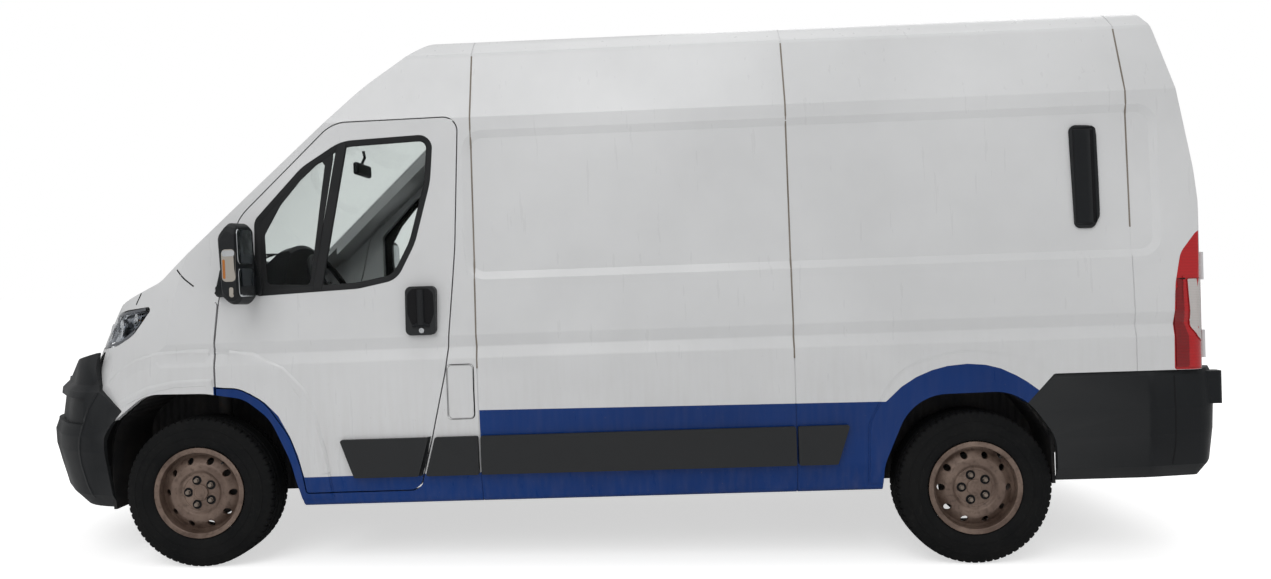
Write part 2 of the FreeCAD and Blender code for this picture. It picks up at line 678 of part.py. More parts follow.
nodes["grille"] = grille
nose = nose.cut(grille_zone)
wing_zone = side_prism(wing_corners, lamp_inner_x, outer_x)
wing = nose.common(wing_zone)
nodes["wing_left"] = largest(wing)
wing_room = wing_zone.common(box(0, outer_x, -reach, reach, 0, wing_corners[5][1]))
wing_room.translate(V(0, wing_gap, 0))
nose = nose.cut(wing_zone.fuse(flip(wing_zone))).cut(wing_room).cut(flip(wing_room))
screen_prism = section_prism(screen_corners, -reach, screen_rear_y)
nodes["windscreen"] = glass_layer.common(screen_prism).common(box(-outer_x, outer_x, -reach, screen_rear_y,
                                                                 0, roof_seam_z))
nose = nose.cut(screen_prism)
whole_doors = door_hole.fuse(flip(door_hole))
nose = nose.cut(whole_doors)
nose = nose.cut(sides.fuse(flip(sides)))
nodes["cab_frame"] = largest(nose)

# The bonnet turns on short pins at its rear corners
x0, x1, x2 = bonnet_pin_xs
bonnet_pin = cylinder(bonnet_pin_radius, V(x0, *bonnet_hinge), V(x1, *bonnet_hinge))
wing_pin = cylinder(bonnet_pin_radius, V(x1 + seat_gap, *bonnet_hinge), V(x2, *bonnet_hinge))
nodes["bonnet"] = bonnet.fuse(bonnet_pin).fuse(flip(bonnet_pin))
nodes["wing_left"] = nodes["wing_left"].fuse(wing_pin)
nodes["wing_right"] = flip(nodes["wing_left"])

# Roof
roof = shell.common(box(-outer_x, outer_x, -reach, reach, roof_seam_z + seam_gap, reach))
nodes["roof_cab"] = roof.common(box(-outer_x, outer_x, -reach, seam_front_y, 0, reach))
nodes["roof_main"] = roof.common(box(-outer_x, outer_x, seam_front_y + seam_gap, reach, 0, reach))

# Bumpers
bumper_outer = loft_levels(bumper_plan, bumper_levels)
inner_levels = [(z - bumper_thickness, shrink) for z, shrink in bumper_levels[:-1]]
inner_levels.append((bumper_levels[-1][0] + bumper_thickness, bumper_levels[-1][1]))
bumper_inner = loft_levels(bumper_plan, inner_levels, bumper_thickness)
arch_cut = Part.makeCompound(arches)
bumper = bumper_outer.cut(bumper_inner).common(bumper_zone).cut(arch_cut)
slot_half, slot_low, slot_high = bumper_slot
bumper = bumper.cut(box(-slot_half, slot_half, -reach, grille_back_y, slot_low, slot_high))
x0, y1, z0, z1, depth = bumper_recess
recess_zone = bumper_outer.cut(loft_levels(bumper_plan, bumper_levels, depth))
for side in (-1, 1):
    bumper = bumper.cut(recess_zone.common(box(min(side * x0, side * outer_x), max(side * x0, side * outer_x),
                                               -reach, y1, z0, z1)))
nodes["front_bumper"] = largest(bumper)
tail_outer = loft_levels(tail_plan, tail_levels)
tail_inner = loft_levels(tail_plan, [(z - tail_thickness * side, shrink) for (z, shrink), side in
                                     zip(tail_levels, (1, 1, 1, 1, 0, -1))], tail_thickness)
tail = tail_outer.cut(tail_inner).common(tail_zone).cut(arch_cut)
tail = tail.cut(box(-tail_step_half, tail_step_half, 0, reach, tail_step_z, reach))
post = upright_tube(tail_post_radius, *tail_hinge, tail_step_z - tail_thickness, reach)
behind_body = box(-outer_x, outer_x, tail_step_y, reach, tail_step_z, reach)
tail = tail.cut(behind_body.cut(post).cut(flip(post)))
post = post.common(tail_outer).common(behind_body.fuse(tail_zone)).cut(outer)
step_plate = plan_prism(both(tail_plan), tail_step_z - tail_thickness, tail_step_z)
step_plate = step_plate.common(tail_outer).common(box(-tail_step_half, tail_step_half, tail_corners[2][1] + seat_gap,
                                                      reach, 0, reach))
tower = plan_prism(tail_tower_corners, *tail_tower_zs).cut(outer)
for part in (step_plate, tower, flip(tower), post, flip(post)):
    tail = tail.fuse(part)
nodes["rear_bumper"] = largest(tail)

# Where the level rear axle lies in the raked body
tail_angle = math.radians(rake_deg)
rear_y = wheelbase * math.cos(tail_angle)
rear_z = tyre_radius - wheelbase * math.sin(tail_angle)

# Wheelhouse liners, floor and bulkhead
liners = []
for arch, inner_x in ((front_arch_corners, front_liner_inner_x), (rear_arch_corners, rear_liner_inner_x)):
    cover = side_grown(arch, liner_thickness, inner_x, outer_x)
    cover = cover.cut(side_prism(arch, inner_x + liner_thickness, outer_x))
    cover = cover.cut(box(0, outer_x, rear_y - axle_slot, rear_y + axle_slot, 0, rear_z + axle_slot))
    cover = cover.cut(box(liner_outer_x, outer_x, floor_front_y, seam_front_y, 0, reach))
    cover = cover.cut(nodes["front_bumper"]).cut(nodes["rear_bumper"])
    liners.append(cover.common(box(0, outer_x, -reach, reach, sill_low, reach)).common(room))

nodes["arch_liners"] = join([part for liner in liners for part in (liner, flip(liner))])
covers = []
for arch, inner_x in ((front_arch_corners, front_liner_inner_x), (rear_arch_corners, rear_liner_inner_x)):
    cover = side_grown(arch, liner_thickness + seat_gap, inner_x - seat_gap, outer_x)
    covers += [cover, flip(cover)]
covers = join(covers)
floor = box(-outer_x, outer_x, floor_front_y, floor_rear_y, floor_low_z, floor_high_z)
threshold = box(-threshold_half, threshold_half, floor_rear_y - threshold_depth, floor_rear_y,
                floor_low_z, threshold_z)
load_floor = box(-outer_x, outer_x, bulkhead_y + bulkhead_thickness + seat_gap, floor_rear_y - threshold_depth,
                 floor_high_z, load_floor_z)
floor = floor.fuse(load_floor).common(room).cut(covers).fuse(threshold).cut(nodes["rear_bumper"])
nodes["floor"] = largest(floor)
bulkhead = box(-outer_x, outer_x, bulkhead_y, bulkhead_y + bulkhead_thickness, floor_high_z + seat_gap, reach)
nodes["bulkhead"] = largest(bulkhead.common(room))
dash = side_prism(dash_corners, -dash_half, dash_half).common(room).cut(covers).cut(hinge_side)
dash = dash.cut(flip(hinge_side))
nodes["dashboard"] = largest(dash)
nodes["cab_frame"] = join([nodes["cab_frame"], hinge_side, flip(hinge_side)])

# Seats: driver's and a double one
seats = []
for centre, half in zip(seat_xs, seat_halfs):
    plinth = box(centre - half + seat_round, centre + half - seat_round, seat_front_y + seat_round, seat_rear_y,
                 floor_high_z + seat_gap, seat_base_z)
    cushion = box(centre - half, centre + half, seat_front_y, seat_rear_y, seat_base_z, seat_cushion_z)
    back = box(centre - half, centre + half, seat_rear_y - seat_back_thickness, seat_rear_y,
               seat_cushion_z, seat_back_z)
    heads = []
    for share in ((0.0,) if half < seat_halfs[1] else (-0.5, 0.5)):
        x = centre + share * half
        heads.append(box(x - head_half, x + head_half, seat_rear_y - seat_back_thickness + head_inset,
                         seat_rear_y - head_inset, head_low_z, head_z))
        heads.append(box(x - head_post_half, x + head_post_half, seat_rear_y - head_post_back,
                         seat_rear_y - head_post_back + head_post_half, seat_back_z, head_low_z))
    seat = plinth.fuse(cushion)
    for part in [back] + heads:
        seat = seat.fuse(part)
    seats.append(seat)
nodes["seats"] = join(seats)

# Steering column and wheel
tilt = math.radians(wheel_tilt_deg)
wheel_centre = V(wheel_x, wheel_y, wheel_z)
column_axis = V(0, -math.cos(tilt), -math.sin(tilt))
grip = Part.makeTorus(wheel_radius, wheel_grip, V(0, 0, 0), V(0, 0, 1))
boss = Part.makeCylinder(boss_radius, boss_height, V(0, 0, -boss_height), V(0, 0, 1))
steering = grip.fuse(boss)
for angle in spoke_angles_deg:
    spoke = box(0, wheel_radius, -spoke_half, spoke_half, -spoke_half * 2, -spoke_half)
    spoke.rotate(V(0, 0, 0), V(0, 0, 1), angle)
    steering = steering.fuse(spoke)
steering.Placement = FreeCAD.Placement(wheel_centre, FreeCAD.Rotation(V(0, 0, 1), -column_axis))
nodes["steering_wheel"] = steering
column_start = wheel_centre + column_axis * (boss_height + seat_gap)
column = cylinder(column_radius, column_start, column_start + column_axis * column_length)
nodes["dashboard"] = nodes["dashboard"].fuse(column).cut(hinge_side)

# Engine, rails, tank, exhaust
engine = box(*engine_box)
nodes["engine"] = engine
rails = []
for x in (-rail_x, rail_x):
    rails.append(box(x - rail_half, x + rail_half, rail_front_y, rail_rear_y, rail_low_z, rail_high_z))
frame = rails[0].fuse(rails[1])
for y in cross_ys:
    frame = frame.fuse(box(-cross_reach, cross_reach, y - cross_half, y + cross_half, rail_low_z + cross_lift,
                           rail_high_z))
for y in outrigger_ys:
    frame = frame.fuse(box(-outrigger_reach, outrigger_reach, y - cross_half, y + cross_half,
                           floor_low_z - outrigger_height, rail_high_z))
frame = frame.fuse(box(-rail_x, rail_x, engine_box[2], engine_box[3], rail_high_z - cross_half, rail_high_z))
nodes["chassis"] = largest(frame.cut(engine).cut(covers))
nodes["fuel_tank"] = box(*tank_box)
exhaust = cylinder(exhaust_radius, V(exhaust_x, exhaust_front_y, exhaust_z), V(exhaust_x, exhaust_rear_y, exhaust_z))
silencer = cylinder(silencer_radius, V(exhaust_x, silencer_ys[0], exhaust_z),
                    V(exhaust_x, silencer_ys[1], exhaust_z))
exhaust = exhaust.fuse(silencer)
for y in outrigger_ys:
    exhaust = exhaust.fuse(box(exhaust_x - hanger_half / 2, exhaust_x + hanger_half / 2, y - hanger_half / 2,
                               y + hanger_half / 2, exhaust_z, floor_low_z - outrigger_height - seat_gap))
nodes["exhaust"] = exhaust

# Wheels, built round the origin with their outside towards +X
tyre = revolve_x(tyre_corners)
rim = revolve_x(barrel_corners).fuse(revolve_x(disc_corners)).fuse(revolve_x(flange_corners))
rim = rim.fuse(flip(revolve_x(flange_corners)))
for i in range(vent_hole_count):
    angle = 2 * math.pi * i / vent_hole_count
    y, z = vent_hole_ring * math.cos(angle), vent_hole_ring * math.sin(angle)
    rim = rim.cut(cylinder(vent_hole_radius, V(0, y, z), V(rim_reach, y, z)))
hub = cylinder(hub_radius, V(0, 0, 0), V(disc_back_x - seat_gap, 0, 0))
hub = hub.fuse(cylinder(brake_radius, V(0, 0, 0), V(brake_thickness, 0, 0)))

# Front knuckles, arms and struts
front_hub = hub.copy()
front_hub.translate(V(front_wheel_x, 0, tyre_radius))
upright = box(kingpin_x - upright_half, front_wheel_x, -upright_half, upright_half, upright_low_z, upright_high_z)
knuckle = front_hub.fuse(upright)
nodes["knuckle_left"] = knuckle
nodes["knuckle_right"] = flip(knuckle)
arm = box(subframe_x, kingpin_x, -arm_half, arm_half, arm_low_z, arm_low_z + arm_height)
arm = arm.fuse(upright_tube(arm_half, kingpin_x, 0, arm_low_z, upright_low_z - seat_gap))
post = upright_tube(strut_radius, strut_x, 0, arm_low_z, strut_high_z)
side_arm = arm.fuse(post)
subframe = box(-subframe_x, subframe_x, -subframe_half, subframe_half, arm_low_z, subframe_high_z)
nodes["front_suspension"] = subframe.fuse(side_arm).fuse(flip(side_arm))

# Rear axle with drums and leaf springs
rear_hub = hub.copy()
rear_hub.translate(V(rear_wheel_x, rear_y, rear_z))
axle = cylinder(axle_radius, V(-rear_wheel_x, rear_y, rear_z), V(rear_wheel_x, rear_y, rear_z))
axle = axle.fuse(rear_hub).fuse(flip(rear_hub))
spring_low = rear_z + axle_radius - spring_bed
spring_corners = [
    (rear_y - spring_half_length, spring_low + spring_rise, 0), (rear_y, spring_low, spring_radius),
    (rear_y + spring_half_length, spring_low + spring_rise, 0),
    (rear_y + spring_half_length, spring_low + spring_rise + spring_thickness, 0),
    (rear_y, spring_low + spring_thickness, spring_radius),
    (rear_y - spring_half_length, spring_low + spring_rise + spring_thickness, 0)]
for x in (-spring_x, spring_x):
    axle = axle.fuse(side_prism(spring_corners, x - spring_half, x + spring_half))
    for y in (rear_y - spring_half_length, rear_y + spring_half_length - hanger_half):
        axle = axle.fuse(box(x - spring_half, x + spring_half, y, y + hanger_half,
                             spring_low + spring_rise, floor_low_z - seat_gap))
nodes["rear_axle"] = axle

# Mouldings, vent, rail, handles and mirrors


def on_skin(corners, proud):
    """A flat piece with an outline, standing proud of the side."""
    return side_prism(corners, door_inner_x, section_corners[2][0] + proud).cut(outer)


strips = []
for (top0, low0), (top1, low1) in strip_spans:
    strips.append(on_skin([(top0, strip_high_z, strip_round), (low0, strip_low_z, strip_round),
                           (low1, strip_low_z, strip_round), (top1, strip_high_z, strip_round)], strip_proud))
nodes["side_strips"] = join([part for strip in strips[1:] for part in (strip, flip(strip))])
vent_depths = (recess_depth, recess_depth - vent_proud)
nodes["side_vent"] = Part.makeLoft(
    [ring(vent_corners, lambda a, b: V(wall_x(b) - depth, a, b)) for depth in vent_depths], True, True)
rail = on_skin([(slide_corners[2][0] + groove_width * 4, slide_rail_z, 0), (slide_rail_end, slide_rail_z, 0),
                (slide_rail_end, slide_rail_z + slide_rail_height, 0),
                (slide_corners[2][0] + groove_width * 4, slide_rail_z + slide_rail_height, 0)], rail_proud)
nodes["slide_rail"] = flip(rail)
mirror_wires = [side_face(scaled(mirror_corners, mirror_centre, share), x).OuterWire for x, share in mirror_levels]
mirror = Part.makeLoft(mirror_wires, True, True)
mirror = mirror.fuse(box(*mirror_arm).cut(outer)).fuse(on_skin(mirror_foot_corners, mirror_foot_proud))
handle = on_skin(handle_corners, handle_proud)
trim = join([mirror, handle, strips[0]])
nodes["door_left_trim"] = trim
nodes["door_right_trim"] = flip(trim)

# Every body piece leans with the springs' rake; the wheels stay on the ground
for name in nodes:
    nodes[name].rotate(V(0, 0, tyre_radius), V(1, 0, 0), rake_deg)
for end, x, y in (("front", front_wheel_x, 0), ("rear", rear_wheel_x, wheelbase)):
    for side in ("left", "right"):
        for name, shape in (("tyre", tyre), ("rim", rim)):
            placed = shape.copy()
            placed.translate(V(x, y, tyre_radius))
            nodes[name + "_" + end + "_" + side] = placed if side == "left" else flip(placed)
os.makedirs("parts", exist_ok=True)
for name in nodes:
    nodes[name].translate(V(0, -origin_shift, 0))
    nodes[name].exportStep("parts/" + name + ".step")
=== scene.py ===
import json
import math

import bmesh
import bpy
from mathutils import Matrix, Vector
from mathutils.bvhtree import BVHTree
from mathutils.geometry import intersect_line_line_2d


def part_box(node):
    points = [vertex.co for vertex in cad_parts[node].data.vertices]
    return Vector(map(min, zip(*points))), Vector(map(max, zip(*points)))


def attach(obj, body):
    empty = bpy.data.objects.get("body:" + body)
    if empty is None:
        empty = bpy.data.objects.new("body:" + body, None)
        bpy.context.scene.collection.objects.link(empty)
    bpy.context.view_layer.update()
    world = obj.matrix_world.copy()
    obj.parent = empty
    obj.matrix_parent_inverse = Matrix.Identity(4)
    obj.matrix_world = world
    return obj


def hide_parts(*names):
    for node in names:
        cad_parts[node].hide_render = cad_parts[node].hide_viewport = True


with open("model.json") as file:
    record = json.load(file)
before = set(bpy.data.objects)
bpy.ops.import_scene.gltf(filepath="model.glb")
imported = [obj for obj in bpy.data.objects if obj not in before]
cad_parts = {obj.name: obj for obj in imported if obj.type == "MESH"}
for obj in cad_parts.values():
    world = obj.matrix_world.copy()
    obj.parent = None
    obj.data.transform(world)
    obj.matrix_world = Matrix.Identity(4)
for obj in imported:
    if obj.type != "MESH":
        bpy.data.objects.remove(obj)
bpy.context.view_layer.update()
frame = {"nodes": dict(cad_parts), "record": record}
nodes = frame["nodes"]

# The body stands nose down by this angle, about the front axle. Body places are level ones, in metres:
# X to the van's left, Y rearwards from the front axle, Z up from the ground.
RAKE = math.radians(1.25)
TYRE_LOW, TYRE_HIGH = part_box("tyre_front_left")
REAR_TYRE_LOW, REAR_TYRE_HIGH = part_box("tyre_rear_left")
TYRE_RADIUS = (TYRE_HIGH.z - TYRE_LOW.z) / 2
AXLE_Y = (TYRE_HIGH.y + TYRE_LOW.y) / 2
REAR_AXLE_Y = (REAR_TYRE_HIGH.y + REAR_TYRE_LOW.y) / 2
FRONT_X = (TYRE_HIGH.x + TYRE_LOW.x) / 2
REAR_X = (REAR_TYRE_HIGH.x + REAR_TYRE_LOW.x) / 2
LEAN = (Matrix.Translation((0, AXLE_Y, TYRE_RADIUS)) @ Matrix.Rotation(RAKE, 4, "X")
        @ Matrix.Translation((0, 0, -TYRE_RADIUS)))

# Camera of the photograph, in level places
EYE = Vector((5.237, 2.107, 1.293))
YAW = math.radians(1.844)
PITCH = math.radians(0.912)
ROLL = math.radians(-0.766)
LENS = 27.26
SENSOR = 36.0

# Heights and lengths of the paintwork and panels, in level places
SEAM_YS = (1.280, 2.673, 4.141)
BAND_TOP = ((1.283, 0.675), (3.062, 0.658), (3.130, 0.721), (3.197, 0.762), (3.264, 0.789), (3.330, 0.805),
            (3.416, 0.812), (3.494, 0.805), (3.559, 0.787), (3.624, 0.755), (3.669, 0.727), (3.730, 0.680))
LIP_TOP = ((0.100, 0.815), (0.203, 0.804), (0.263, 0.781), (0.330, 0.737), (0.388, 0.676), (0.436, 0.580),
           (0.466, 0.494), (0.484, 0.412), (0.488, 0.398), (1.283, 0.398))
SIDE_X = 0.60


class Finish:
    """One procedural material: a Principled shader and the nodes that feed it."""

    def __init__(self, name, colour, roughness, **constants):
        self.material = bpy.data.materials.new(name)
        self.material.use_nodes = True
        self.nodes = self.material.node_tree.nodes
        self.links = self.material.node_tree.links
        self.shader = self.nodes["Principled BSDF"]
        self.put("Base Color", (*colour, 1.0))
        self.put("Roughness", roughness)
        for socket, value in constants.items():
            self.put(socket.replace("_", " "), value)
        self.here = self.add("ShaderNodeTexCoord").outputs["Object"]

    def put(self, socket, value):
        """A constant on the shader's own socket, or a link to it."""
        if isinstance(value, bpy.types.NodeSocket):
            self.links.new(value, self.shader.inputs[socket])
        else:
            self.shader.inputs[socket].default_value = value

    def add(self, kind, inputs=(), **settings):
        node = self.nodes.new(kind)
        for key, value in settings.items():
            setattr(node, key, value)
        for socket, value in inputs:
            if isinstance(value, bpy.types.NodeSocket):
                self.links.new(value, node.inputs[socket])
            else:
                node.inputs[socket].default_value = value
        return node

    def level(self):
        """The place in the level body, undoing the rake."""
        moved = self.add("ShaderNodeVectorMath", [(0, self.here), (1, (0, AXLE_Y, TYRE_RADIUS))],
                         operation="SUBTRACT")
        turned = self.add("ShaderNodeVectorRotate", [("Vector", moved.outputs[0]), ("Angle", -RAKE)],
                          rotation_type="X_AXIS")
        lifted = self.add("ShaderNodeVectorMath", [(0, turned.outputs[0]), (1, (0, 0, TYRE_RADIUS))],
                          operation="ADD")
        return lifted.outputs[0]

    def axes(self, place):
        return self.add("ShaderNodeSeparateXYZ", [(0, place)]).outputs

    def noise(self, scale, detail, place=None, stretch=None):
        place = place or self.here
        if stretch:
            stretched = self.add("ShaderNodeVectorMath", [(0, place), (1, stretch)], operation="MULTIPLY")
            place = stretched.outputs[0]
        return self.add("ShaderNodeTexNoise", [("Vector", place), ("Scale", scale), ("Detail", detail),
                                               ("Roughness", 0.55)]).outputs["Fac"]

    def wave(self, scale, direction, distortion=0.0):
        """Parallel ribs along one axis."""
        inputs = [("Vector", self.here), ("Scale", scale), ("Distortion", distortion)]
        return self.add("ShaderNodeTexWave", inputs, bands_direction=direction).outputs["Fac"]

    def math(self, operation, first, second=0.0):
        return self.add("ShaderNodeMath", [(0, first), (1, second)], operation=operation).outputs[0]

    def spread(self, value, low, high, start=0.3, end=0.7):
        """Value from start to end, spread to low to high."""
        node = self.add("ShaderNodeMapRange", [("Value", value), ("From Min", start), ("From Max", end),
                                               ("To Min", low), ("To Max", high)])
        return node.outputs[0]

    def blend(self, factor, first, second):
        """A mix of two colours."""
        node = self.add("ShaderNodeMix", data_type="RGBA")
        for socket, value in ((0, factor), (6, first), (7, second)):
            if isinstance(value, bpy.types.NodeSocket):
                self.links.new(value, node.inputs[socket])
            elif socket == 0:
                node.inputs[socket].default_value = value
            else:
                node.inputs[socket].default_value = (*value, 1.0)
        return node.outputs[2]

    def mottled(self, clouds, first, second):
        """Two colours mixed by a noise."""
        return self.blend(self.spread(clouds, 0.0, 1.0), first, second)

    def below(self, value, across, points):
        """1 where value is under a curve of points over across, and 0 outside its ends."""
        start, end = points[0][0], points[-1][0]
        share = self.spread(across, 0.0, 1.0, start, end)
        curve = self.add("ShaderNodeFloatCurve", [("Value", share)])
        line = curve.mapping.curves[0]
        while len(line.points) < len(points):
            line.points.new(0.5, 0.5)
        for point, (along, height) in zip(line.points, points):
            point.location = ((along - start) / (end - start), height)
            point.handle_type = "VECTOR"
        curve.mapping.update()
        under = self.math("LESS_THAN", value, curve.outputs[0])
        after = self.math("GREATER_THAN", across, start)
        before = self.math("LESS_THAN", across, end)
        return self.math("MULTIPLY", under, self.math("MULTIPLY", after, before))

    def bump(self, height, strength, distance, under=None):
        """A bump of a height, over another bump."""
        inputs = [("Height", height), ("Strength", strength), ("Distance", distance)]
        node = self.add("ShaderNodeBump", inputs)
        if under:
            self.links.new(under, node.inputs["Normal"])
        self.put("Normal", node.outputs[0])
        return node.outputs[0]

    def grain(self, scale, strength, distance):
        """Fine moulded grain."""
        cells = self.add("ShaderNodeTexVoronoi", [("Vector", self.here), ("Scale", scale)])
        return self.bump(cells.outputs["Distance"], strength, distance)

    def edges(self, low=0.52, high=0.60):
        """1 on the sharp outer edges."""
        point = self.add("ShaderNodeNewGeometry").outputs["Pointiness"]
        return self.spread(point, 0.0, 1.0, low, high)


def white_paint():
    """White panels with dark blue lower bands, road dust low down and faint streaks."""
    paint = Finish("white_paint", (0.66, 0.665, 0.67), 0.32, Coat_Weight=0.2, Coat_Roughness=0.12, IOR=1.45)
    place = paint.level()
    x, y, z = paint.axes(place)
    facing = paint.axes(paint.add("ShaderNodeNewGeometry").outputs["Normal"])[0]
    outward = paint.math("GREATER_THAN", paint.math("MULTIPLY", facing, paint.math("SIGN", x)), -0.3)
    side = paint.math("MULTIPLY", outward, paint.math("GREATER_THAN", paint.math("ABSOLUTE", x), SIDE_X))
    band = paint.math("MAXIMUM", paint.below(z, y, BAND_TOP), paint.below(z, y, LIP_TOP))
    blue = paint.math("MULTIPLY", band, side)
    clouds = paint.noise(1.3, 5.0)
    white = paint.mottled(clouds, (0.60, 0.605, 0.61), (0.68, 0.685, 0.69))
    blue_tone = paint.mottled(clouds, (0.0008, 0.024, 0.130), (0.0030, 0.038, 0.190))
    body = paint.blend(blue, white, blue_tone)
    streaks = paint.noise(4.0, 6.0, place, (9.0, 9.0, 0.9))
    low_down = paint.spread(z, 1.0, 0.0, 0.30, 1.05)
    dust = paint.math("MULTIPLY", paint.spread(streaks, 0.0, 0.16, 0.42, 0.75), low_down)
    dust = paint.math("MULTIPLY", dust, paint.spread(blue, 1.0, 0.35, 0.0, 1.0))
    dusty = paint.blend(dust, body, (0.30, 0.25, 0.20))
    specks = paint.spread(paint.noise(85.0, 2.0), 0.0, 0.35, 0.70, 0.80)
    paint.put("Base Color", paint.blend(paint.math("MULTIPLY", specks, low_down), dusty, (0.16, 0.13, 0.11)))
    paint.put("Roughness", paint.spread(streaks, 0.26, 0.42))
    paint.put("Specular IOR Level", paint.spread(blue, 0.5, 0.15, 0.0, 1.0))
    wave = paint.bump(paint.noise(2.2, 2.0), 0.08, 0.004)
    paint.bump(paint.noise(420.0, 2.0), 0.05, 0.0004, wave)
    return paint.material


def glass(name, tint, roughness=0.03):
    """Clear glass with faint smears."""
    pane = Finish(name, tint, roughness, Transmission_Weight=1.0, IOR=1.10)
    smears = pane.noise(3.0, 5.0)
    pane.put("Roughness", pane.spread(smears, roughness, roughness + 0.05))
    return pane.material


def black_plastic():
    """Grained black plastic with grey scuffs, and a painted highlight on its sharp outer edges."""
    plastic = Finish("black_plastic", (0.006, 0.007, 0.008), 0.55, Specular_IOR_Level=0.2)
    clouds = plastic.noise(3.5, 5.0)
    plain = plastic.mottled(clouds, (0.005, 0.006, 0.0075), (0.009, 0.0105, 0.012))
    scuffs = plastic.spread(plastic.noise(30.0, 6.0, None, (1.0, 1.0, 6.0)), 0.0, 0.25, 0.62, 0.80)
    # Painted highlight: sharp outer edges lightened by half, mixed with the real grey scuffs
    scuffs_and_edge_highlight = plastic.math("MAXIMUM", scuffs, plastic.math("MULTIPLY", plastic.edges(), 0.5))
    plastic.put("Base Color", plastic.blend(scuffs_and_edge_highlight, plain, (0.040, 0.041, 0.042)))
    plastic.put("Roughness", plastic.spread(clouds, 0.45, 0.66))
    plastic.grain(900.0, 0.25, 0.0005)
    return plastic.material


def plain_plastic(name, dark, light, rough=(0.5, 0.7), grain=700.0):
    """Matt plastic of two tones with a fine grain."""
    plastic = Finish(name, dark, rough[0], Specular_IOR_Level=0.25)
    clouds = plastic.noise(4.0, 5.0)
    plastic.put("Base Color", plastic.mottled(clouds, dark, light))
    plastic.put("Roughness", plastic.spread(clouds, *rough))
    plastic.grain(grain, 0.3, 0.0006)
    return plastic.material


def liner_plastic():
    """Ribbed wheelhouse liner with dried mud."""
    liner = Finish("liner_plastic", (0.012, 0.012, 0.012), 0.75)
    ribs = liner.wave(9.0, "Y")
    mud = liner.spread(liner.noise(9.0, 6.0), 0.0, 0.5, 0.45, 0.7)
    liner.put("Base Color", liner.blend(mud, (0.010, 0.010, 0.011), (0.045, 0.038, 0.032)))
    ribbed = liner.bump(ribs, 0.6, 0.006)
    liner.bump(liner.noise(60.0, 6.0), 0.4, 0.002, ribbed)
    return liner.material


def tyre_rubber():
    """Worn black rubber with a brown bloom."""
    rubber = Finish("tyre_rubber", (0.007, 0.007, 0.007), 0.82, Specular_IOR_Level=0.12)
    clouds = rubber.noise(7.0, 6.0)
    fine = rubber.noise(60.0, 5.0)
    bloom = rubber.mottled(clouds, (0.004, 0.0045, 0.005), (0.011, 0.011, 0.011))
    dusty = rubber.spread(fine, 0.0, 0.35, 0.55, 0.8)
    rubber.put("Base Color", rubber.blend(dusty, bloom, (0.026, 0.025, 0.023)))
    rubber.put("Roughness", rubber.spread(clouds, 0.72, 0.92))
    rubber.bump(fine, 0.25, 0.0012)
    return rubber.material


def rim_paint(name, dark, light, metal=0.35):
    """Silver wheel paint browned by brake dust."""
    paint = Finish(name, light, 0.45, Metallic=metal)
    clouds = paint.noise(9.0, 6.0)
    spots = paint.noise(55.0, 5.0)
    base = paint.mottled(clouds, dark, light)
    brown = paint.spread(spots, 0.0, 0.6, 0.52, 0.72)
    paint.put("Base Color", paint.blend(brown, base, (0.045, 0.026, 0.018)))
    paint.put("Roughness", paint.spread(clouds, 0.38, 0.62))
    paint.bump(spots, 0.25, 0.001)
    return paint.material


def rough_metal(name, dark, light, metal=0.6, scale=12.0):
    """Underbody and cast metal with rust and dirt."""
    cast = Finish(name, dark, 0.7, Metallic=metal)
    clouds = cast.noise(scale, 7.0)
    rust = cast.spread(cast.noise(scale * 2.2, 6.0), 0.0, 0.55, 0.52, 0.72)
    base = cast.mottled(clouds, dark, light)
    cast.put("Base Color", cast.blend(rust, base, (0.09, 0.045, 0.025)))
    cast.put("Roughness", cast.spread(clouds, 0.55, 0.85))
    cast.bump(cast.noise(scale * 9.0, 5.0), 0.5, 0.002)
    return cast.material


def fabric(name, dark, light, scale=650.0):
    """Woven seat cloth."""
    cloth = Finish(name, dark, 0.9, Sheen_Weight=0.3, Sheen_Roughness=0.5)
    threads = cloth.math("MULTIPLY", cloth.wave(scale, "X", 0.6), cloth.wave(scale, "Z", 0.6))
    clouds = cloth.noise(30.0, 5.0)
    cloth.put("Base Color", cloth.blend(cloth.math("MULTIPLY", threads, clouds), dark, light))
    cloth.bump(threads, 0.5, 0.0006)
    return cloth.material


def floor_lining():
    """Ribbed rubber floor."""
    lining = Finish("floor_lining", (0.10, 0.10, 0.10), 0.7)
    ribs = lining.wave(22.0, "X")
    dirt = lining.spread(lining.noise(5.0, 6.0), 0.0, 0.6)
    lining.put("Base Color", lining.blend(dirt, (0.10, 0.10, 0.10), (0.17, 0.15, 0.13)))
    lining.bump(ribs, 0.7, 0.004)
    return lining.material


def ribbed_lens(name, colour, direction, scale=60.0, transmission=0.35, contrast=0.6):
    """A moulded lamp lens with fine ribs."""
    lens = Finish(name, colour, 0.12, Transmission_Weight=transmission, Coat_Weight=0.6, IOR=1.3)
    ribs = lens.wave(scale, direction)
    shade = tuple(contrast * part for part in colour)
    lens.put("Base Color", lens.blend(ribs, shade, colour))
    lens.put("Roughness", lens.spread(lens.noise(20.0, 4.0), 0.10, 0.22))
    lens.bump(ribs, 1.1 - contrast, 0.002)
    return lens.material


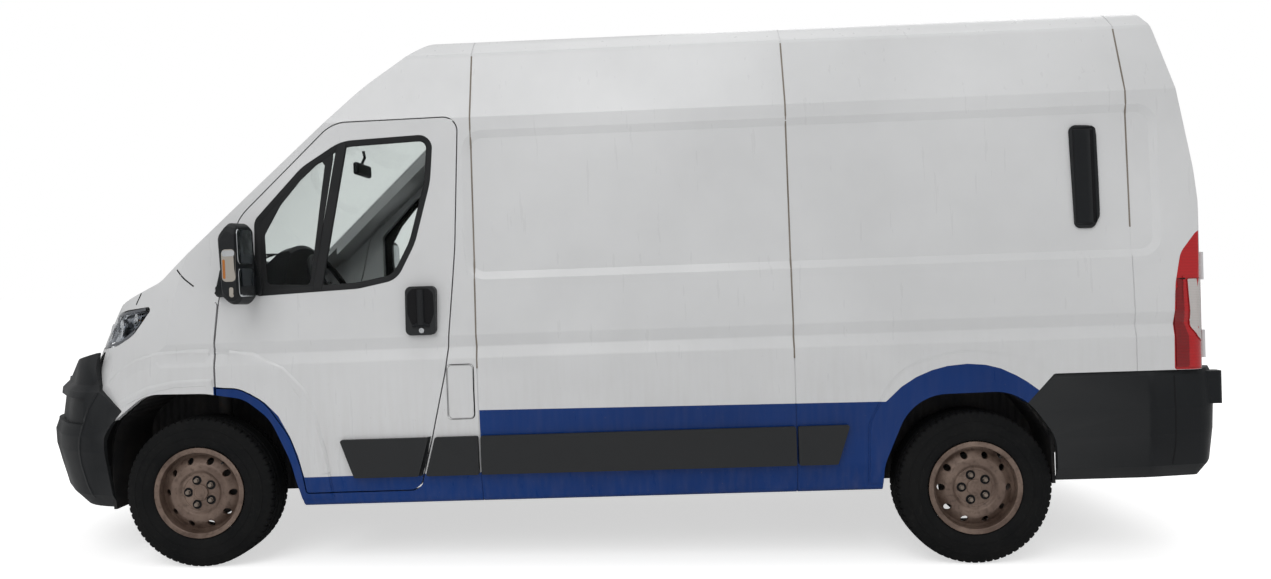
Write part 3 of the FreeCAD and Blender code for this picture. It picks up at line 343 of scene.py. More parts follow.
FINISHES = {
    "white_paint": white_paint(),
    "glass": glass("window_glass", (0.76, 0.79, 0.78)),
    "lamp_clear": glass("lamp_clear", (0.92, 0.94, 0.96)),
    "lamp_red": ribbed_lens("lamp_red", (0.52, 0.008, 0.012), "Z", 24.0, 0.15, 0.92),
    "black_plastic": black_plastic(),
    "liner_plastic": liner_plastic(),
    "dash_plastic": plain_plastic("dash_plastic", (0.045, 0.046, 0.050), (0.075, 0.076, 0.080)),
    "floor_lining": floor_lining(),
    "seat_fabric": fabric("seat_fabric", (0.030, 0.033, 0.045), (0.095, 0.10, 0.13)),
    "chassis_steel": rough_metal("chassis_steel", (0.018, 0.018, 0.018), (0.05, 0.048, 0.045), 0.2),
    "cast_metal": rough_metal("cast_metal", (0.11, 0.105, 0.10), (0.20, 0.19, 0.18)),
    "tyre_rubber": tyre_rubber(),
    "rim_paint": rim_paint("rim_paint", (0.095, 0.060, 0.045), (0.235, 0.170, 0.135)),
}

for part in frame["record"]["subparts"]:
    item = nodes[part["node"]]
    item.data.materials.clear()
    item.data.materials.append(FINISHES[part["material_slot"]])


def rounded(corners, steps=6):
    """Outline in two axes from corners (a, b, radius)."""
    outline = []
    for i, (a, b, radius) in enumerate(corners):
        here = Vector((a, b))
        back = (Vector(corners[i - 1][:2]) - here).normalized()
        onward = (Vector(corners[(i + 1) % len(corners)][:2]) - here).normalized()
        if radius == 0:
            outline.append(here)
            continue
        half = back.angle(onward) / 2
        run = radius / math.tan(half)
        centre = here + (back + onward).normalized() * radius / math.sin(half)
        start = (here + back * run - centre).normalized()
        end = (here + onward * run - centre).normalized()
        outline += [centre + start.slerp(end, k / steps).normalized() * radius for k in range(steps + 1)]
    return outline


def shrunk(outline, share):
    """An outline drawn in towards its middle."""
    centre = sum(outline, Vector((0, 0))) / len(outline)
    return [centre + (point - centre) * share for point in outline]


def divided(path, step):
    """A path with points at most a step apart."""
    points = []
    for start, end in zip(path, path[1:]):
        start, end = Vector(start), Vector(end)
        count = max(1, math.ceil((end - start).length / step))
        points += [start.lerp(end, k / count) for k in range(count)]
    return points + [Vector(path[-1])]


def grid(rings, wrap=True, start_cap=False, end_cap=False):
    """Quads between rings of points."""
    count = len(rings[0])
    verts = [point for ring in rings for point in ring]
    faces = []
    for i in range(len(rings) - 1):
        for j in range(count if wrap else count - 1):
            k = (j + 1) % count
            faces.append((i * count + j, i * count + k, (i + 1) * count + k, (i + 1) * count + j))
    if start_cap:
        faces.append(tuple(reversed(range(count))))
    if end_cap:
        faces.append(tuple((len(rings) - 1) * count + j for j in range(count)))
    return verts, faces


def piece(name, shape, look, body="van_body", sharp=40.0, leaning=True):
    """A new piece from (verts, faces) at level places, with a look, riding on a body."""
    verts, faces = shape
    finish, slot = look
    mesh = bpy.data.meshes.new(name)
    mesh.from_pydata([LEAN @ Vector(v) if leaning else Vector(v) for v in verts], [], faces)
    work = bmesh.new()
    work.from_mesh(mesh)
    bmesh.ops.remove_doubles(work, verts=work.verts, dist=0.00002)
    bmesh.ops.recalc_face_normals(work, faces=work.faces)
    work.to_mesh(mesh)
    work.free()
    mesh.shade_smooth()
    mesh.set_sharp_from_angle(angle=math.radians(sharp))
    mesh.materials.append(finish)
    item = bpy.data.objects.new(name, mesh)
    bpy.context.scene.collection.objects.link(item)
    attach(item, body)
    return item


def merged(*shapes):
    """Several shapes as one."""
    verts, faces = [], []
    for shape_verts, shape_faces in shapes:
        start = len(verts)
        verts += list(shape_verts)
        faces += [tuple(start + i for i in face) for face in shape_faces]
    return verts, faces


def tube(points, radius, sides=10, closed=False):
    """A rod along points; radius is one value or one for each point."""
    points = [Vector(p) for p in points]
    count = len(points)
    rings = []
    side = None
    for i, point in enumerate(points):
        if closed:
            run = points[(i + 1) % count] - points[i - 1]
        else:
            run = points[min(i + 1, count - 1)] - points[max(i - 1, 0)]
        run.normalize()
        if side is None:
            side = run.orthogonal().normalized()
        side = (side - run * side.dot(run)).normalized()
        other = run.cross(side)
        size = radius[i] if isinstance(radius, (list, tuple)) else radius
        rings.append([point + (side * math.cos(a) + other * math.sin(a)) * size
                      for a in (2 * math.pi * k / sides for k in range(sides))])
    if closed:
        return grid(rings + [rings[0]])
    return grid(rings, True, True, True)


def lathe(profile, centre, axis, segments=32):
    """Surface of revolution from (along, radius) pairs round an axis."""
    axis = Vector(axis).normalized()
    side = axis.orthogonal().normalized()
    other = axis.cross(side)
    rings = []
    for along, radius in profile:
        rings.append([Vector(centre) + axis * along + (side * math.cos(a) + other * math.sin(a)) * radius
                      for a in (2 * math.pi * k / segments for k in range(segments))])
    return grid(rings, True, True, True)


def surface(*names):
    """The surface of CAD nodes or pieces, at level places."""
    back = LEAN.inverted()
    verts, faces = [], []
    for name in names:
        start = len(verts)
        item = nodes[name] if isinstance(name, str) else name
        verts += [back @ item.matrix_world @ v.co for v in item.data.vertices]
        faces += [[start + i for i in face.vertices] for face in item.data.polygons]
    return BVHTree.FromPolygons(verts, faces)


def seen_from(along, other, *names):
    """Places points on surfaces, standing proud: (Y, Z) from the side, (X, Z) from the front or rear,
    (X, Y) from the top. Where a ray misses, the surface nearest to the other value is taken."""
    tree = surface(*names)

    def place(a, b, proud):
        if along.x:
            start = Vector((along.x * -2.0, a, b))
        elif along.z:
            start = Vector((a, b, along.z * -4.0))
        else:
            start = Vector((a, along.y * -8.0, b))
        hit = tree.ray_cast(start, along)[0]
        if hit is None:
            near = start.copy()
            near[0 if along.x else 1] = other
            hit = tree.find_nearest(near)[0]
        return hit - along * proud
    return place


LEFT_VIEW = Vector((-1, 0, 0))
RIGHT_VIEW = Vector((1, 0, 0))
FRONT_VIEW = Vector((0, 1, 0))
REAR_VIEW = Vector((0, -1, 0))
TOP_VIEW = Vector((0, 0, -1))


def ribbon(path, profile, place, closed=True):
    """A strip along a path on a surface, from (aside, proud) pairs; inward is aside on a closed one."""
    count = len(path)
    area = sum(path[i - 1][0] * path[i][1] - path[i][0] * path[i - 1][1] for i in range(count))
    sign = -1.0 if closed and area < 0 else 1.0
    rings = []
    for i, (a, b) in enumerate(path):
        before = path[i - 1] if closed else path[max(i - 1, 0)]
        after = path[(i + 1) % count] if closed else path[min(i + 1, count - 1)]
        run = (Vector(after) - Vector(before)).normalized()
        aside = Vector((-run.y, run.x)) * sign
        rings.append([place(a + aside.x * s, b + aside.y * s, proud) for s, proud in profile])
    if closed:
        rings.append(rings[0])
    return grid(rings, False)


def patch(outline, place, proud, bevel=0.002, skirt=0.003):
    """A filled outline on a surface, with a rounded edge."""
    size = max((point - outline[0]).length for point in outline)
    rim = shrunk(outline, 1 - 2 * bevel / size)
    rings = [[place(p.x, p.y, -skirt) for p in outline], [place(p.x, p.y, proud - bevel) for p in outline],
             [place(p.x, p.y, proud) for p in rim]]
    for share in (0.75, 0.5, 0.25, 0.04):
        rings.append([place(p.x, p.y, proud) for p in shrunk(rim, share)])
    return grid(rings, True, False, True)


def dome(outline, place, steps):
    """A bulging form over an outline, from (share, proud) pairs."""
    rings = [[place(p.x, p.y, proud) for p in shrunk(outline, share)] for share, proud in steps]
    return grid(rings, True, False, True)


def crossing(outline, centre, angle):
    """Where a ray from the centre leaves an outline."""
    ray = Vector((math.cos(angle), math.sin(angle)))
    for start, end in zip(outline, outline[1:] + outline[:1]):
        hit = intersect_line_line_2d(centre, centre + ray * 9.0, start, end)
        if hit:
            return hit
    return centre


def collar(outer, inner, centre, place, proud, bevel=0.002, count=120):
    """A flat ring between two outlines on a surface."""
    angles = [2 * math.pi * k / count for k in range(count)]
    outside = [crossing(outer, centre, a) for a in angles]
    inside = [crossing(inner, centre, a) for a in angles]
    rings = [[place(p.x, p.y, -0.001) for p in outside], [place(p.x, p.y, proud) for p in outside]]
    for share in (0.33, 0.66):
        rings.append([place(*a.lerp(b, share), proud) for a, b in zip(outside, inside)])
    rings.append([place(*(b + (a - b).normalized() * bevel), proud) for a, b in zip(outside, inside)])
    rings.append([place(p.x, p.y, -0.001) for p in inside])
    return grid(rings)


def pillow_box(low, high, radius, segments=4):
    """A box with rounded edges, as (verts, faces)."""
    work = bmesh.new()
    bmesh.ops.create_cube(work, size=1.0)
    low, high = Vector(low), Vector(high)
    for vert in work.verts:
        vert.co = Vector([low[k] if vert.co[k] < 0 else high[k] for k in range(3)])
    bmesh.ops.bevel(work, geom=work.edges[:], offset=radius, segments=segments, profile=0.5, affect="EDGES")
    work.verts.index_update()
    shape = ([v.co.copy() for v in work.verts], [tuple(v.index for v in f.verts) for f in work.faces])
    work.free()
    return shape


def polished(name, colour, roughness=0.12):
    """Bright metal with faint smears."""
    metal = Finish(name, colour, roughness, Metallic=1.0)
    smears = metal.noise(14.0, 5.0)
    dimmed = tuple(0.8 * part for part in colour)
    metal.put("Base Color", metal.mottled(smears, colour, dimmed))
    metal.put("Roughness", metal.spread(smears, roughness, roughness + 0.15))
    metal.bump(metal.noise(200.0, 2.0), 0.05, 0.0003)
    return metal.material


# A look is a material and the name of a slot
BLACK = (FINISHES["black_plastic"], "black_plastic")
WHITE = (FINISHES["white_paint"], "white_paint")
DASH = (FINISHES["dash_plastic"], "dash_plastic")
RIM = (FINISHES["rim_paint"], "rim_paint")
TYRE = (FINISHES["tyre_rubber"], "tyre_rubber")
CLOTH = (FINISHES["seat_fabric"], "seat_fabric")
RUBBER = (plain_plastic("rubber_seal", (0.008, 0.009, 0.010), (0.020, 0.020, 0.021), (0.55, 0.75), 500.0),
          "black_plastic")
SEALANT = (plain_plastic("sealant", (0.16, 0.135, 0.11), (0.25, 0.22, 0.19), (0.7, 0.85), 300.0),
           "white_paint")
SHADOW = (plain_plastic("dark_recess", (0.004, 0.004, 0.005), (0.010, 0.010, 0.011), (0.8, 0.95), 300.0),
          "black_plastic")
TRIM = (plain_plastic("cab_trim", (0.10, 0.105, 0.10), (0.15, 0.155, 0.15), (0.6, 0.8), 600.0),
        "dash_plastic")
LINING = (plain_plastic("cab_lining", (0.42, 0.42, 0.40), (0.50, 0.50, 0.48), (0.8, 0.95), 400.0),
          "floor_lining")
PLATE = (plain_plastic("blank_plate", (0.62, 0.62, 0.60), (0.68, 0.68, 0.66), (0.25, 0.4), 200.0),
         "black_plastic")
CHROME = (polished("reflector", (0.72, 0.74, 0.76), 0.08), "rim_paint")
DARK_CHROME = (polished("dark_chrome", (0.20, 0.21, 0.23), 0.2), "black_plastic")
STEEL = (polished("bolt_steel", (0.30, 0.25, 0.21), 0.4), "cast_metal")
MIRROR = (polished("mirror_glass", (0.80, 0.83, 0.85), 0.02), "glass")
AMBER = (ribbed_lens("amber_lens", (0.75, 0.24, 0.03), "Z"), "lamp_clear")
PALE_LENS = (ribbed_lens("pale_lens", (0.72, 0.66, 0.58), "Y", 70.0), "lamp_clear")
RED_LENS = (ribbed_lens("red_lens", (0.42, 0.010, 0.010), "Z", 45.0, 0.35, 0.85), "lamp_red")
DARK_RED = (ribbed_lens("dark_red_lens", (0.20, 0.002, 0.004), "Z", 24.0, 0.0, 0.9), "lamp_red")
REAR_CLEAR = (ribbed_lens("rear_clear_lens", (0.66, 0.63, 0.61), "Z", 45.0, 0.2, 0.9), "lamp_clear")
LENS_CHROME = (CHROME[0], "lamp_clear")
LAMP_SHADOW = (SHADOW[0], "lamp_red")
WELL_SHADOW = (SHADOW[0], "rim_paint")
CLOTH_SHADOW = (SHADOW[0], "seat_fabric")
PIPING = (RUBBER[0], "seat_fabric")

SIDES = (("left", 1, LEFT_VIEW), ("right", -1, RIGHT_VIEW))


def loop(corners, step=0.05):
    """A closed path with rounded corners and no long spans."""
    path = rounded(corners)
    return divided(path + [path[0]], step)[:-1]


def plate_outline(a_low, a_high, b_low, b_high, radius):
    corners = ((a_low, b_low), (a_high, b_low), (a_high, b_high), (a_low, b_high))
    return loop([(*corner, radius) for corner in corners], 0.04)


def plate(box, radius, place, proud, bevel=0.002):
    """A rounded rectangle on a surface; its box is low and high of one axis, then of the other."""
    return patch(plate_outline(*box, radius), place, proud, bevel)


def plates(rows, place, end, body):
    """One plate for each row of a table."""
    for name, box, radius, proud, bevel, look in rows:
        piece(f"{name}_{end}", plate(box, radius, place, proud, bevel), look, body)


def strip(path, step, section, place):
    """An open ribbon along a path."""
    return ribbon(divided(path, step), section, place, False)


def band(corners, step, section, place):
    """A closed ribbon round an outline."""
    return ribbon(loop(corners, step), section, place)


def across(side, near, far):
    """Two distances from the middle on one side, lowest first."""
    return sorted((side * near, side * far))


def ridge(foot, top, height, sunk=0.001):
    """Section of a low ridge: half widths of its foot and top, its height, and how deep the foot lies."""
    return (-foot, -sunk), (-top, height), (top, height), (foot, -sunk)


SHUT_SECTION = ridge(0.0035, 0.003, 0.0006)

# Cab doors: (a, b, radius) corners in Y and Z, and sections as (aside, proud)
WINDOW = [(0.298, 1.210, 0.02), (0.300, 1.548, 0.06), (0.520, 1.778, 0.25), (0.700, 1.888, 0.20),
          (1.114, 1.904, 0.06), (1.096, 1.690, 0.40), (1.020, 1.420, 0.30), (0.935, 1.262, 0.10),
          (0.760, 1.228, 0.30)]
FRAME_SECTION = ((-0.003, -0.002), (-0.003, 0.004), (0.000, 0.007), (0.022, 0.007), (0.028, 0.003),
                 (0.028, -0.002))
QUARTER_RIM = [(0.300, 1.213, 0.01), (0.302, 1.546, 0.06), (0.520, 1.775, 0.25), (0.672, 1.868, 0.01),
               (0.556, 1.231, 0.01)]
QUARTER_CLEAR = [(0.352, 1.262, 0.02), (0.344, 1.482, 0.04), (0.420, 1.613, 0.10), (0.513, 1.721, 0.10),
                 (0.611, 1.808, 0.015), (0.624, 1.785, 0.01), (0.586, 1.541, 0.30), (0.542, 1.253, 0.02)]
QUARTER_CENTRE = Vector((0.47, 1.48))
DIVIDER = ((0.576, 1.232), (0.706, 1.882))
DIVIDER_SECTION = ((-0.022, -0.002), (-0.022, 0.006), (-0.018, 0.010), (0.018, 0.010), (0.022, 0.006),
                   (0.022, -0.002))
STRIP_END = [(1.049, 0.563), (1.074, 0.567), (1.026, 0.394), (1.005, 0.389)]
HANDLE_RECESS = [(1.004, 1.062, 0.012), (0.986, 1.110, 0.05), (0.988, 1.200, 0.03), (1.010, 1.220, 0.02),
                 (1.080, 1.220, 0.02), (1.102, 1.200, 0.03), (1.104, 1.110, 0.05), (1.086, 1.062, 0.012)]
GRIP = ((1.045, 1.060), (1.045, 1.216))
GRIP_FOOT = [(1.000, 1.058, 0.006), (1.028, 1.070, 0.02), (1.062, 1.070, 0.02), (1.090, 1.058, 0.006),
             (1.082, 1.052, 0.006), (1.008, 1.052, 0.006)]
GRIP_SECTION = ((-0.017, 0.000), (-0.015, 0.007), (-0.008, 0.012), (0.008, 0.012), (0.015, 0.007),
                (0.017, 0.000))
DOOR_LOCK = ((0.0, 0.012), (0.002, 0.012), (0.003, 0.011), (0.003, 0.004), (0.001, 0.0035), (0.001, 0.0005))
MIRROR_FOOT = [(0.117, 1.212, 0.012), (0.122, 1.262, 0.05), (0.250, 1.535, 0.03), (0.286, 1.500, 0.05),
               (0.316, 1.214, 0.02)]
FOOT_DOME = ((1.0, -0.002), (0.99, 0.018), (0.97, 0.038), (0.93, 0.055), (0.85, 0.066), (0.70, 0.072),
             (0.40, 0.074), (0.04, 0.074))
MIRROR_GLASSES = (("main", 1.352, 1.500), ("wide", 1.212, 1.334))

# Plates as name, box, corner radius, proud, bevel and look
MIRROR_LENSES = (
    ("mirror_indicator", (0.264, 0.322, 1.278, 1.414), 0.018, 0.0006, 0.0005, PALE_LENS),
    ("mirror_amber", (0.268, 0.279, 1.290, 1.372), 0.005, 0.0010, 0.0005, AMBER),
    ("mirror_lens_top", (0.266, 0.320, 1.384, 1.410), 0.010, 0.0011, 0.0005, LENS_CHROME),
    ("mirror_lower_lens", (0.292, 0.310, 1.212, 1.254), 0.008, 0.0010, 0.0008, PALE_LENS))
DOOR_LININGS = (
    ("door_panel", (0.480, 1.110, 0.470, 1.140), 0.06, 0.010, 0.006, TRIM),
    ("door_armrest", (0.560, 0.960, 0.905, 0.965), 0.025, 0.050, 0.015, DASH),
    ("door_pocket", (0.520, 1.060, 0.500, 0.640), 0.04, 0.042, 0.012, DASH))


def door_window(name, side, view, body):
    """Rubber frame, slanted divider and the wide border of the quarter light."""
    glazed = seen_from(view, side, f"door_{name}_glass")
    piece(f"window_frame_{name}", band(WINDOW, 0.03, FRAME_SECTION, glazed), RUBBER, body)
    piece(f"window_divider_{name}", strip(DIVIDER, 0.03, DIVIDER_SECTION, glazed), RUBBER, body)
    border = collar(loop(QUARTER_RIM), loop(QUARTER_CLEAR), QUARTER_CENTRE, glazed, 0.004)
    piece(f"quarter_border_{name}", border, RUBBER, body)


def door_mirror(name, side, view, body):
    """Mirror foot, lamp lenses and the two mirror glasses."""
    skin = seen_from(view, side, f"door_{name}", f"door_{name}_glass")
    piece(f"mirror_foot_{name}", dome(loop(MIRROR_FOOT, 0.03), skin, FOOT_DOME), BLACK, body)
    plates(MIRROR_LENSES, seen_from(view, side * 1.1, f"door_{name}_trim"), name, body)
    rear_face = seen_from(REAR_VIEW, 0.33, f"door_{name}_trim")
    for part, low_z, high_z in MIRROR_GLASSES:
        box = (*across(side, 1.096, 1.236), low_z, high_z)
        piece(f"mirror_glass_{part}_{name}", plate(box, 0.022, rear_face, 0.0015, 0.001), MIRROR, body)


def door_handle(name, side, view, body):
    """Handle recess, grip and lock, and the end of the moulding at the shut line."""
    trim = seen_from(view, side * 1.1, f"door_{name}_trim")
    piece(f"handle_recess_{name}", patch(loop(HANDLE_RECESS, 0.02), trim, 0.0012, 0.001), SHADOW, body)
    grip = merged(strip(GRIP, 0.02, GRIP_SECTION, trim), patch(loop(GRIP_FOOT, 0.02), trim, 0.008, 0.003))
    piece(f"handle_grip_{name}", grip, BLACK, body)
    lock = lathe(DOOR_LOCK, trim(1.046, 1.036, 0.0), (side, 0, 0), 24)
    piece(f"handle_lock_{name}", lock, CHROME, body)
    shell = seen_from(view, side, f"door_{name}")
    outline = divided(STRIP_END + STRIP_END[:1], 0.02)[:-1]
    piece(f"strip_end_{name}", patch(outline, shell, 0.010, 0.002), BLACK, body)


def cab_doors():
    """All that rides on the two cab doors."""
    for name, side, view in SIDES:
        body = f"cab_door_{name}"
        door_window(name, side, view, body)
        door_mirror(name, side, view, body)
        door_handle(name, side, view, body)
        plates(DOOR_LININGS, seen_from(view * -1.0, side * 0.9, f"door_{name}"), name, body)


# Headlamps
LAMP_HOUSING = [(-0.220, 1.158, 0.01), (-0.300, 1.072, 0.05), (-0.400, 1.022, 0.05), (-0.560, 0.996, 0.05),
                (-0.640, 0.970, 0.01), (-0.640, 1.070, 0.02), (-0.560, 1.100, 0.05), (-0.350, 1.148, 0.05)]
LAMP_LOWER = [(-0.600, 0.984), (-0.456, 1.002), (-0.371, 1.022), (-0.301, 1.062), (-0.242, 1.111),
              (-0.205, 1.152)]
LAMP_UPPER = [(-0.620, 1.088), (-0.500, 1.121), (-0.350, 1.153), (-0.230, 1.169)]
STRIP_SECTION = ((-0.006, -0.001), (-0.006, 0.0015), (-0.004, 0.0025), (0.004, 0.0025), (0.006, 0.0015),
                 (0.006, -0.001))
BOWL = ((-0.003, 0.050), (-0.004, 0.047), (-0.012, 0.043), (-0.020, 0.028), (-0.023, 0.012), (-0.023, 0.001))
BOWL_SIZES = ((-0.505, 1.052, 1.0), (-0.395, 1.080, 0.84), (-0.298, 1.120, 0.60))
BULB_RADIUS = 0.011
BULB_DEPTH = 0.014


def headlamps():
    """Dark housings, bowls with bulbs, and the dark bright-work strips along the edges."""
    for name, side, view in SIDES:
        lens = seen_from(view, side * 0.9, "headlamps")
        housing = patch(loop(LAMP_HOUSING, 0.03), lens, -0.040, 0.002, 0.045)
        piece(f"lamp_housing_{name}", housing, DARK_CHROME)
        axis = Vector((side * 0.66, -0.74, 0.10)).normalized()
        for number, (y, z, share) in enumerate(BOWL_SIZES, 1):
            centre = lens(y, z, 0.0) - axis * 0.006
            bowl = lathe([(along * share, radius * share) for along, radius in BOWL], centre, axis, 40)
            piece(f"lamp_bowl_{number}_{name}", bowl, CHROME)
            size = BULB_RADIUS * share
            bulb = [(size * math.sin(a) - BULB_DEPTH, size * math.cos(a) + 0.0001)
                    for a in (math.pi * (k / 8 - 0.5) for k in range(9))]
            look = AMBER if number == len(BOWL_SIZES) else PALE_LENS
            piece(f"lamp_bulb_{number}_{name}", lathe(bulb, centre, axis, 20), look)
        for part, path in (("lower", LAMP_LOWER), ("upper", LAMP_UPPER)):
            piece(f"lamp_strip_{part}_{name}", strip(path, 0.02, STRIP_SECTION, lens), DARK_CHROME)


# Front: the bumper's lower slot, blank plates, wipers, cowl and washer jets
MESH_LOW, MESH_HIGH, MESH_HALF = 0.350, 0.612, 0.545
MESH_ROWS, MESH_COLUMNS = 9, 37
PLATE_SECTION = ((-0.004, -0.001), (-0.004, 0.008), (0.003, 0.008), (0.003, 0.0))
SLOT_SECTION = ridge(0.005, 0.004, 0.002, 0.0)
WIPERS = (("left", 0.62, 0.70, 0.10), ("right", -0.06, 0.04, -0.56))
WIPER_CAP = ((-0.02, 0.014), (0.008, 0.014), (0.012, 0.010), (0.012, 0.001))


def number_plate(name, box, place, body):
    """A blank plate with its rim."""
    piece(f"{name}_plate", plate(box, 0.010, place, 0.006), PLATE, body)
    piece(f"{name}_plate_rim", ribbon(plate_outline(*box, 0.010), PLATE_SECTION, place), RUBBER, body)


def bumper_slot():
    """Mesh with a dark backing in the lower slot, and the front plate."""
    bumper = seen_from(FRONT_VIEW, -0.8, "front_bumper")

    def behind(x, z):
        """A place behind the slot's mouth, following the bumper's curve."""
        return Vector((x, bumper(x, 0.640, 0.0).y + 0.045, z))

    bars = []
    for k in range(MESH_ROWS):
        z = MESH_LOW + (MESH_HIGH - MESH_LOW) * k / (MESH_ROWS - 1)
        bars.append(tube([behind(MESH_HALF * (i / 8 - 1), z) for i in range(17)], 0.004, 6))
    for k in range(MESH_COLUMNS):
        x = MESH_HALF * (2 * k / (MESH_COLUMNS - 1) - 1)
        bars.append(tube([behind(x, MESH_LOW), behind(x, MESH_HIGH)], 0.003, 6))
    piece("bumper_mesh", merged(*bars), BLACK)
    backing = [[behind(MESH_HALF * 1.03 * (i / 8 - 1), z) + Vector((0, 0.02, 0)) for i in range(17)]
               for z in (MESH_LOW - 0.02, MESH_HIGH + 0.02)]
    piece("bumper_backing", grid(backing, False), SHADOW)
    number_plate("front", (-0.26, 0.26, 0.652, 0.762), bumper, "van_body")


def wipers():
    """Wipers at rest low on the windscreen."""
    screen = seen_from(FRONT_VIEW, 0.0, "windscreen")
    for name, pivot, start, end in WIPERS:
        root = Vector((pivot, screen(pivot, 1.400, 0.0).y - 0.035, 1.372))
        rest = [screen(start + (end - start) * k / 10, 1.425 + 0.012 * math.sin(math.pi * k / 10), 0.012)
                for k in range(11)]
        spine = [point + Vector((0, -0.008, 0.003)) for point in rest[2:9]]
        blade = merged(tube(rest, 0.005, 8), tube(spine, 0.004, 6))
        knee = root.lerp(rest[5], 0.3) + Vector((0, -0.022, 0.012))
        arm = tube([root, knee, rest[5] + Vector((0, -0.018, 0.004))], [0.010, 0.008, 0.005], 8)
        cap = lathe(WIPER_CAP, root, (0, -0.4, 0.9), 20)
        piece(f"wiper_{name}", merged(blade, arm, cap), RUBBER)


def cowl_and_jets():
    """Slots in the cowl and washer jets on the bonnet."""
    cowl = seen_from(TOP_VIEW, 1.0, "cowl")
    slots = [ribbon([(x, -0.165), (x, -0.115), (x, -0.075)], SLOT_SECTION, cowl, False)
             for x in (0.03 * k for k in range(-22, 23))]
    piece("cowl_slots", merged(*slots), SHADOW)
    bonnet = seen_from(TOP_VIEW, 1.0, "bonnet")
    for name, side, _ in SIDES:
        box = (*across(side, 0.34, 0.37), -0.355, -0.325)
        piece(f"washer_jet_{name}", plate(box, 0.008, bonnet, 0.009, 0.004), RUBBER, "bonnet_lid")


# Sides
SEAM_SECTION = ridge(0.004, 0.003, 0.0012)
SEAM_FEET = (0.860, 0.860, 1.380)
SEAM_TOP = 2.262
BUMPER_JOINT = [(4.290, 0.330), (4.303, 0.420), (4.303, 0.748)]
FLAP = [(1.146, 0.640, 0.02), (1.146, 0.878, 0.02), (1.262, 0.878, 0.02), (1.262, 0.640, 0.02)]
VENT_RIM = [(3.894, 1.380, 0.02), (3.894, 1.832, 0.02), (4.013, 1.832, 0.02), (4.013, 1.380, 0.02)]
VENT_SECTION = ((0.001, -0.002), (0.001, 0.003), (0.004, 0.005), (0.014, 0.005), (0.018, 0.001))


def side_panels():
    """Sealed panel seams and the rear bumper's joints."""
    for name, side, view in SIDES:
        parts = [f"side_mid_{name}", f"side_quarter_{name}", f"pillar_{name}", "cab_frame", "rear_frame"]
        if side < 0:
            parts.append("sliding_door")
        flank = seen_from(view, side, *parts)
        for number, (y, foot) in enumerate(zip(SEAM_YS, SEAM_FEET), 1):
            seam = strip([(y, foot), (y, SEAM_TOP)], 0.05, SEAM_SECTION, flank)
            piece(f"panel_seam_{number}_{name}", seam, SEALANT)
        bumper = seen_from(view, side, "rear_bumper")
        piece(f"bumper_joint_{name}", strip(BUMPER_JOINT, 0.02, SHUT_SECTION, bumper), SHADOW)


def filler_and_vent():
    """Ring of the fuel flap, and the vent's rim, scoop and gap."""
    flank = seen_from(LEFT_VIEW, 1.0, "pillar_left", "door_left")
    piece("filler_ring", band(FLAP, 0.03, SHUT_SECTION, flank), SHADOW)
    vent = seen_from(LEFT_VIEW, 1.0, "side_vent")
    piece("vent_ring", band(VENT_RIM, 0.03, VENT_SECTION, vent), BLACK)
    heights = [1.404 + 0.404 * k / 12 for k in range(13)]
    scoop = [[vent(3.914 + 0.066 * share, z, 0.001 + 0.009 * share) for z in heights]
             for share in (0.0, 0.25, 0.5, 0.75, 1.0)]
    scoop.append([point + Vector((-0.010, 0.002, 0)) for point in scoop[-1]])
    piece("vent_scoop", grid(scoop, False), BLACK)
    piece("vent_gap", plate((3.983, 3.996, 1.404, 1.808), 0.005, vent, 0.0008, 0.0006), SHADOW)


# Tail lamps
TAIL_STRIP = [(4.308, 0.770, 0.006), (4.308, 1.130, 0.05), (4.345, 1.215, 0.02), (4.348, 1.160, 0.02),
              (4.348, 0.960, 0.03), (4.362, 0.900, 0.02), (4.362, 0.770, 0.006)]
TAIL_CLEAR = [(4.366, 1.148, 0.006), (4.432, 1.148, 0.006), (4.432, 0.872, 0.004), (4.404, 0.896, 0.03),
              (4.372, 0.942, 0.03)]
TAIL_GASKET = [(4.303, 1.120), (4.303, 0.761), (4.436, 0.761)]
TAIL_BAR = [(4.310, 1.148), (4.360, 1.148)]
GASKET_SECTION = ((-0.004, -0.001), (-0.004, 0.002), (0.003, 0.002), (0.003, -0.001))
LENS_EDGE_SECTION = ridge(0.002, 0.0015, 0.0042, 0.0)


def tail_lamps():
    """Gasket, darker front strip, and the clear section at the corner with its edge."""
    for name, side, view in SIDES:
        lens = seen_from(view, side, "tail_lamps")
        piece(f"tail_gasket_{name}", strip(TAIL_GASKET, 0.02, GASKET_SECTION, lens), RUBBER)
        piece(f"tail_strip_{name}", patch(loop(TAIL_STRIP, 0.03), lens, 0.0034, 0.001), DARK_RED)
        piece(f"tail_clear_{name}", patch(loop(TAIL_CLEAR, 0.03), lens, 0.0036, 0.001), REAR_CLEAR)
        piece(f"tail_clear_edge_{name}", band(TAIL_CLEAR, 0.02, LENS_EDGE_SECTION, lens), RED_LENS)
        piece(f"tail_bar_{name}", strip(TAIL_BAR, 0.01, SHUT_SECTION, lens), LAMP_SHADOW)


